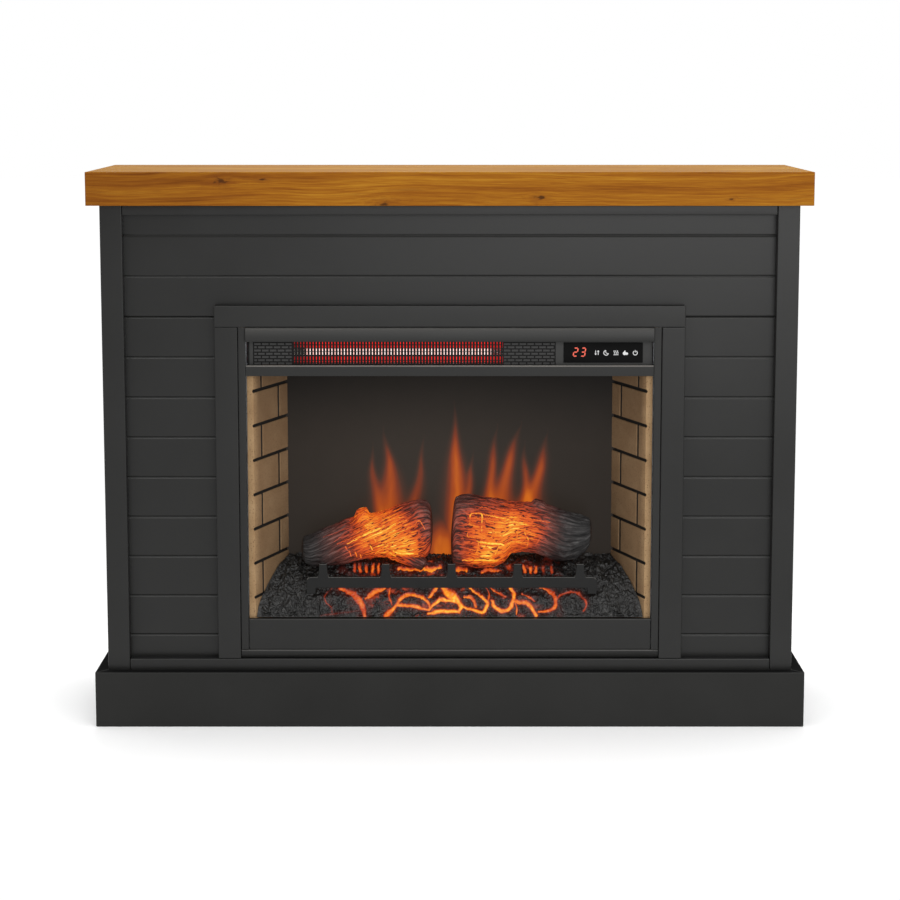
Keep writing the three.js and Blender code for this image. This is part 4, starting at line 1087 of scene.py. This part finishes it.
def ember_bed(material):
    """The moulded coals: the bed's profile with crinkled lumps, raked open where the strands of light show."""
    low, high = box_mm("ember_bed")
    profile = np.array(BED_TOP, float)
    length = np.concatenate([[0], np.cumsum(np.hypot(np.diff(profile[:, 0]), np.diff(profile[:, 1])))])
    along = np.arange(0, length[-1], 0.9)
    blur = np.ones(17) / 17
    path_y, path_z = (np.interp(along, length, profile[:, i]) for i in (0, 1))
    path_y, path_z = (np.convolve(np.pad(line, 8, mode="reflect", reflect_type="odd"), blur, mode="valid")
                      for line in (path_y, path_z))
    part = np.linspace(-1, 1, 680)
    half_back = 274.3 - 1
    half = high[0] + (half_back - high[0]) * (path_y - path_y[0]) / (path_y[-1] - path_y[0])
    grid_x = half[:, None] * part[None, :]
    grid_s = np.repeat(along[:, None], len(part), axis=1)
    flat = np.stack([grid_x, grid_s, np.zeros_like(grid_x)], axis=-1)
    lump = fractal_noise(flat, 0.05, 2, seed=5)
    sway = np.stack([fractal_noise(flat, 0.09, 2, seed=21), fractal_noise(flat, 0.09, 2, seed=31)], axis=-1)
    bent = flat.copy()
    bent[..., :2] += sway * 6.0
    crinkle = np.abs(fractal_noise(bent, 0.13, 4, 0.62, seed=9))
    pebble = 1 - np.abs(fractal_noise(bent, 0.042, 2, 0.5, seed=40)) * 2.4

    nearer = (SEEN_AT - EYE[0]) / (path_y - EYE[0])
    seen_x = grid_x * nearer[:, None] + sway[..., 0] * 2.2
    seen_z = (EYE[1] - (EYE[1] - path_z) * nearer)[:, None] + sway[..., 1] * 2.2
    heat = strand_light(STRANDS, seen_x, seen_z, 1.3, 0.36)
    groove = smoothstep(0.3, 0.7, heat)
    for x, bright in CELLS:
        cell = np.exp(-(((seen_x - x) / 2.6) ** 4) - ((seen_z - 258) / 8.0) ** 4)
        heat = np.maximum(heat, bright * cell)
        groove = np.maximum(groove, cell)
    middle = np.exp(-((grid_x / 175) ** 6))
    flicker = 0.5 + 0.5 * fractal_noise(flat, 0.045, 3, seed=14)
    cracks = smoothstep(0.055, 0.0, crinkle) * middle * smoothstep(0.42, 0.62, flicker)
    pocket = smoothstep(0.56, 0.8, 0.5 + 0.5 * fractal_noise(flat, 0.06, 3, seed=50)) * middle
    heat = np.maximum(heat * (0.78 + 0.3 * flicker), np.maximum(cracks * 0.42, pocket * 0.36))

    rise = lump * 3.2 + pebble * 2.6 + (crinkle - 0.18) * 8.0 - groove * 2.2
    wall_room = smoothstep(0, 7, half[:, None] - np.abs(grid_x))
    rise = np.clip(rise - 2.6, -8, 3.2) * smoothstep(0, 4, grid_s) * (0.3 + 0.7 * wall_room)
    tangent_y, tangent_z = np.gradient(path_y), np.gradient(path_z)
    size = np.hypot(tangent_y, tangent_z)
    y = np.maximum(path_y[:, None] - rise * (tangent_z / size)[:, None], low[1])
    z = path_z[:, None] + rise * (tangent_y / size)[:, None]
    points = np.stack([grid_x, y, z], axis=-1)
    relief = np.clip(crinkle * 2.6, 0, 1)
    mesh = sheet_mesh("ember_bed_skin", points * MM, warmth=np.clip(heat, 0, 1), relief=relief)
    add_piece("ember_bed_skin", mesh, material, "embers", "ember_bed")


# ------------------------------------------------------------------ heater strip

STRIP_CELL = (12.8, 5.35)  # pitch of the pressed cells along x and z
STRIP_GAP = 2.0


def perforated_strip(name, spans, face, ground):
    """A pressed strip: plain flats, and brick-pattern cells standing over a dark ground."""
    low, high = box_mm(name)
    back = bmesh.new()
    block(back, (low[0], low[1] + 1.3, low[2]), (high[0], high[1], high[2]))
    add_built(name + "_ground", back, ground, "black_steel")
    builder = bmesh.new()
    for kind, x0, x1 in spans:
        if kind == "flat":
            block(builder, (x0, low[1], low[2]), (x1, low[1] + 1.4, high[2]), 0.3)
            continue
        rows = int((high[2] - low[2] - 1) / STRIP_CELL[1])
        for row in range(rows):
            z0 = low[2] + 0.9 + row * STRIP_CELL[1]
            start = x0 - (row % 2) * STRIP_CELL[0] / 2
            for column in range(int((x1 - x0) / STRIP_CELL[0]) + 2):
                cell_0 = max(start + column * STRIP_CELL[0], x0)
                cell_1 = min(start + (column + 1) * STRIP_CELL[0] - STRIP_GAP, x1)
                if cell_1 - cell_0 > 1.5:
                    block(builder, (cell_0, low[1], z0), (cell_1, low[1] + 1.4, z0 + STRIP_CELL[1] - STRIP_GAP), 0.35)
    add_built(name + "_face", builder, face, "black_steel", name)


GUARD_WIRES = ((600.4, 1.3), (606.2, 1.4), (614.0, 2.6), (620.4, 1.0), (626.2, 1.3), (631.7, 1.5))  # z, thickness


def heater_guard(material):
    """Upright bars across the window in front of the tube, with thinner cross wires behind them."""
    low, high = box_mm("heater_guard")
    builder = bmesh.new()
    pitch, half = 5.08, 1.9  # of the upright bars
    count = int((high[0] - low[0]) / pitch)
    margin = (high[0] - low[0] - count * pitch) / 2
    for i in range(count + 1):
        x = low[0] + margin + i * pitch
        block(builder, (max(x - half, low[0]), low[1], low[2]), (min(x + half, high[0]), low[1] + 1.1, high[2]), 0.3)
    for z, thick in GUARD_WIRES:
        block(builder, (low[0], low[1] + 0.9, z - thick / 2), (high[0], high[1], z + thick / 2))
    add_built("heater_guard_mesh", builder, material, "black_steel", "heater_guard")


def sill_highlight_strip(material):
    """A light strip along the top front edge of the sill under the heater: a painted highlight, standing in for the
    light that edge catches.
    """
    low, high = box_mm("heater_sill")
    builder = bmesh.new()
    block(builder, (low[0], low[1] - 0.4, high[2] - 1.2), (high[0], low[1] + 2.4, high[2] + 1.2), 0.9)
    add_built("heater_sill_highlight_strip", builder, material, "black_steel", smooth=True)


def end_seals(material):
    """Foam plugs in the open ends of the hood, and foam between those ends and the side trims."""
    hood_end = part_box("hood")[1][0] / MM
    trim_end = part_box("trim_right")[1][0] / MM
    low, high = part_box("hood")[0][2] / MM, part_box("hood")[1][2] / MM
    builder = bmesh.new()
    # Inner and outer x, front and back y: first the foam beside the hood's end, then the plug in it.
    fills = ((hood_end - 1, trim_end - 2, -129, -125), (hood_end - 9, hood_end - 1.5, -133, -116))
    for side in (-1, 1):
        for inner, outer, front, back in fills:
            across = sorted((side * inner, side * outer))
            block(builder, (across[0], front, low + 1.8), (across[1], back, high - 1.6), 0.4)
    add_built("hood_end_seals", builder, material, "rubber")


# ------------------------------------------------------------------ display and key signs

def ribbon(builder, points, width, y, closed=False):
    """A flat stroke of even width along points (x, z), in mm, lying at depth y."""
    points = [np.array(p, float) for p in points]
    count = len(points)
    left, right = [], []
    for i, point in enumerate(points):
        before = points[i - 1] if (i or closed) else points[i]
        after = points[(i + 1) % count] if (i < count - 1 or closed) else points[i]
        along = (after - before) / max(np.linalg.norm(after - before), 1e-9)
        side = np.array([-along[1], along[0]]) * width / 2
        for line, place in ((left, point + side), (right, point - side)):
            line.append(builder.verts.new((place[0] * MM, y * MM, place[1] * MM)))
    for i in range(count if closed else count - 1):
        j = (i + 1) % count
        builder.faces.new((left[i], left[j], right[j], right[i]))


def patch(builder, points, y):
    builder.faces.new([builder.verts.new((x * MM, y * MM, z * MM)) for x, z in points])


def arc(cx, cz, radius, start, end, steps):
    angles = np.radians(np.linspace(start, end, steps + 1))
    return [(cx + radius * math.cos(a), cz + radius * math.sin(a)) for a in angles]


SEGMENTS = {"2": "abged", "3": "abgcd"}


def seven_segment(builder, digit, x, z, width, height, y):
    """One slanted digit made of six-sided bars."""
    bar = 1.9
    slant = 0.14
    ends = {
        "a": ((0, 1), (1, 1)), "g": ((0, 0.5), (1, 0.5)), "d": ((0, 0), (1, 0)),
        "f": ((0, 0.5), (0, 1)), "b": ((1, 0.5), (1, 1)), "e": ((0, 0), (0, 0.5)), "c": ((1, 0), (1, 0.5)),
    }
    for segment in SEGMENTS[digit]:
        (u0, v0), (u1, v1) = ends[segment]
        first = np.array([x + u0 * width, z + v0 * height])
        last = np.array([x + u1 * width, z + v1 * height])
        along = (last - first) / np.linalg.norm(last - first)
        side = np.array([-along[1], along[0]]) * bar / 2
        first, last = first + along * 0.35, last - along * 0.35
        tip = along * bar / 2
        corners = [first, first + tip + side, last - tip + side, last, last - tip - side, first + tip - side]
        patch(builder, [(p[0] + slant * (p[1] - z), p[1]) for p in corners], y)


def add_signs(red, white):
    """The lit reading and the five key signs on the touch panel."""
    low = box_mm("control_panel")[0]
    y = low[1] - 0.06
    digits = bmesh.new()
    for i, digit in enumerate("23"):
        seven_segment(digits, digit, 201.0 + i * 12.4, 613.6, 6.2, 13.2, y)
    add_built("display_digits", digits, red, "black_glass")
    signs = bmesh.new()
    z = 619.2
    for x, up in ((237.6, -1), (241.8, 1)):
        ribbon(signs, [(x, z - 3.6 * up), (x, z + 2.6 * up)], 1.1, y)
        patch(signs, [(x - 1.9, z + 1.4 * up), (x, z + 4.2 * up), (x + 1.9, z + 1.4 * up)][:: up], y)
    x = 255.1
    ribbon(signs, arc(x - 0.4, z - 0.2, 3.9, 95, 345, 18), 1.2, y)
    ribbon(signs, arc(x + 2.0, z + 1.9, 3.2, 150, 290, 10), 1.0, y)
    x = 270.8
    for i in range(3):
        wave = [(x - 2.8 + 2.8 * i + 0.6 * math.sin(t * 6.3), z - 1.9 + 5.6 * t) for t in np.linspace(0, 1, 9)]
        ribbon(signs, wave, 1.0, y)
    ribbon(signs, [(x - 4, z - 3.4), (x + 4, z - 3.4)], 1.0, y)
    x = 285.9
    patch(signs, arc(x - 1.2, z - 1.2, 2.9, 0, 330, 14), y)
    patch(signs, [(x - 3.4, z), (x - 0.4, z + 4.2), (x + 0.8, z + 0.4)], y - 0.01)
    patch(signs, arc(x + 2.4, z - 1.6, 2.2, 0, 330, 12), y - 0.02)
    x = 302.1
    ribbon(signs, arc(x, z - 0.4, 3.4, 118, 422, 20), 1.2, y)
    ribbon(signs, [(x, z + 0.6), (x, z + 4.0)], 1.1, y)
    add_built("key_signs", signs, white, "black_glass")


# ------------------------------------------------------------------ fixings at the back

def screw(builder, place, axis, radius=3.6):
    """A domed head with a cross recess, standing on a surface that faces along axis."""
    place, axis = Vector(place) * MM, Vector(axis)
    turn = Vector((0, 0, 1)).rotation_difference(axis).to_matrix()
    rings = ((radius, 0), (radius, 0.8), (radius * 0.75, 1.6), (radius * 0.3, 1.9))
    sides = 16
    loops = []
    for ring_radius, rise in rings:
        loop = []
        for i in range(sides):
            angle = 2 * math.pi * i / sides
            local = Vector((ring_radius * math.cos(angle), ring_radius * math.sin(angle), rise)) * MM
            loop.append(builder.verts.new(place + turn @ local))
        loops.append(loop)
    for inner, outer in zip(loops[1:], loops[:-1]):
        for i in range(sides):
            j = (i + 1) % sides
            builder.faces.new((outer[i], outer[j], inner[j], inner[i]))
    builder.faces.new(loops[-1])
    for angle in (0, math.pi / 2):
        across = turn @ Vector((math.cos(angle), math.sin(angle), 0))
        side = turn @ Vector((-math.sin(angle), math.cos(angle), 0))
        top = place + axis * 1.93 * MM
        corners = [top + across * a * radius * 0.62 * MM + side * b * 0.35 * MM
                   for a, b in ((-1, -1), (1, -1), (1, 1), (-1, 1))]
        builder.faces.new([builder.verts.new(c) for c in corners])


def add_screws(material):
    cover_low, cover_high = box_mm("rear_cover")
    builder = bmesh.new()
    inset = 9
    for x in np.linspace(cover_low[0] + inset, cover_high[0] - inset, 5):
        for z in (cover_low[2] + inset, cover_high[2] - inset):
            screw(builder, (x, cover_high[1], z), (0, 1, 0))
    for z in np.linspace(cover_low[2] + inset, cover_high[2] - inset, 4)[1:-1]:
        for x in (cover_low[0] + inset, cover_high[0] - inset):
            screw(builder, (x, cover_high[1], z), (0, 1, 0))
    add_built("rear_cover_screws", builder, material, "motor_metal")


# ------------------------------------------------------------------ the scene

def build():
    add_camera()
    add_world()
    add_lights()
    add_floor()
    bpy.context.scene.view_settings.view_transform = "Standard"

    coated = powder_coat_material("charcoal_powder_coat", (36, 36, 35), (31, 31, 30), 0.4)
    galvanised = galvanised_material()
    iron = iron_material()
    materials = {
        "glass": black_glass_material(),
        "tube": tube_material(),
        "reflector": reflector_material(),
        "ceramic": plain_material("ceramic", (222, 216, 204), (200, 192, 178), 0.75, 300, 0.0003),
        "mirror": plain_material("polished_aluminium", (214, 214, 214), (190, 190, 190), 0.15, 40, 0.0001, 1.0),
        "motor": plain_material("plated_steel", (150, 152, 155), (124, 126, 129), 0.4, 60, 0.0001, 0.9),
        "circuit": plain_material("circuit_board", (34, 104, 62), (24, 82, 48), 0.5, 120, 0.0003),
        "rubber": plain_material("black_rubber", (26, 26, 26), (16, 16, 16), 0.75, 500, 0.0003),
    }
    coat_cabinet(timber_material(), raw_board_material())
    coat_insert(coated, galvanised, iron, materials)

    brick = brick_material()
    brick_panel(-1, brick)
    brick_panel(1, brick)
    flame_screen(screen_material())
    add_logs(log_material())
    ember_bed(ember_material())

    # The last colour given to each powder coat is the painted highlight on its rounded edges.
    cells = powder_coat_material("pressed_strip", (58, 58, 57), (48, 48, 47), 0.5, (70, 70, 68))
    guard = powder_coat_material("guard_black", (12, 11, 11), (8, 7, 7), 0.6, (16, 15, 15))
    perforated_strip("heater_strip_left", (("flat", -327, -321), ("cells", -319, -257.6)), cells, guard)
    perforated_strip("heater_strip_right", (("cells", 88, 171), ("flat", 172.5, 330)), cells, guard)
    # Light colours for the sill strip: a painted highlight where the sill's top edge would catch the light.
    sill_highlight_paint = powder_coat_material("sill_edge_highlight", (104, 101, 97), (94, 91, 87), 0.45, (112, 108, 104))
    sill_highlight_strip(sill_highlight_paint)
    end_seals(materials["rubber"])
    heater_guard(guard)
    red = lamp_material("red_lamp", srgb(255, 92, 60), 1.0)
    add_signs(red, lamp_material("white_lamp", srgb(226, 226, 226), 1.0))
    add_screws(materials["motor"])


build()
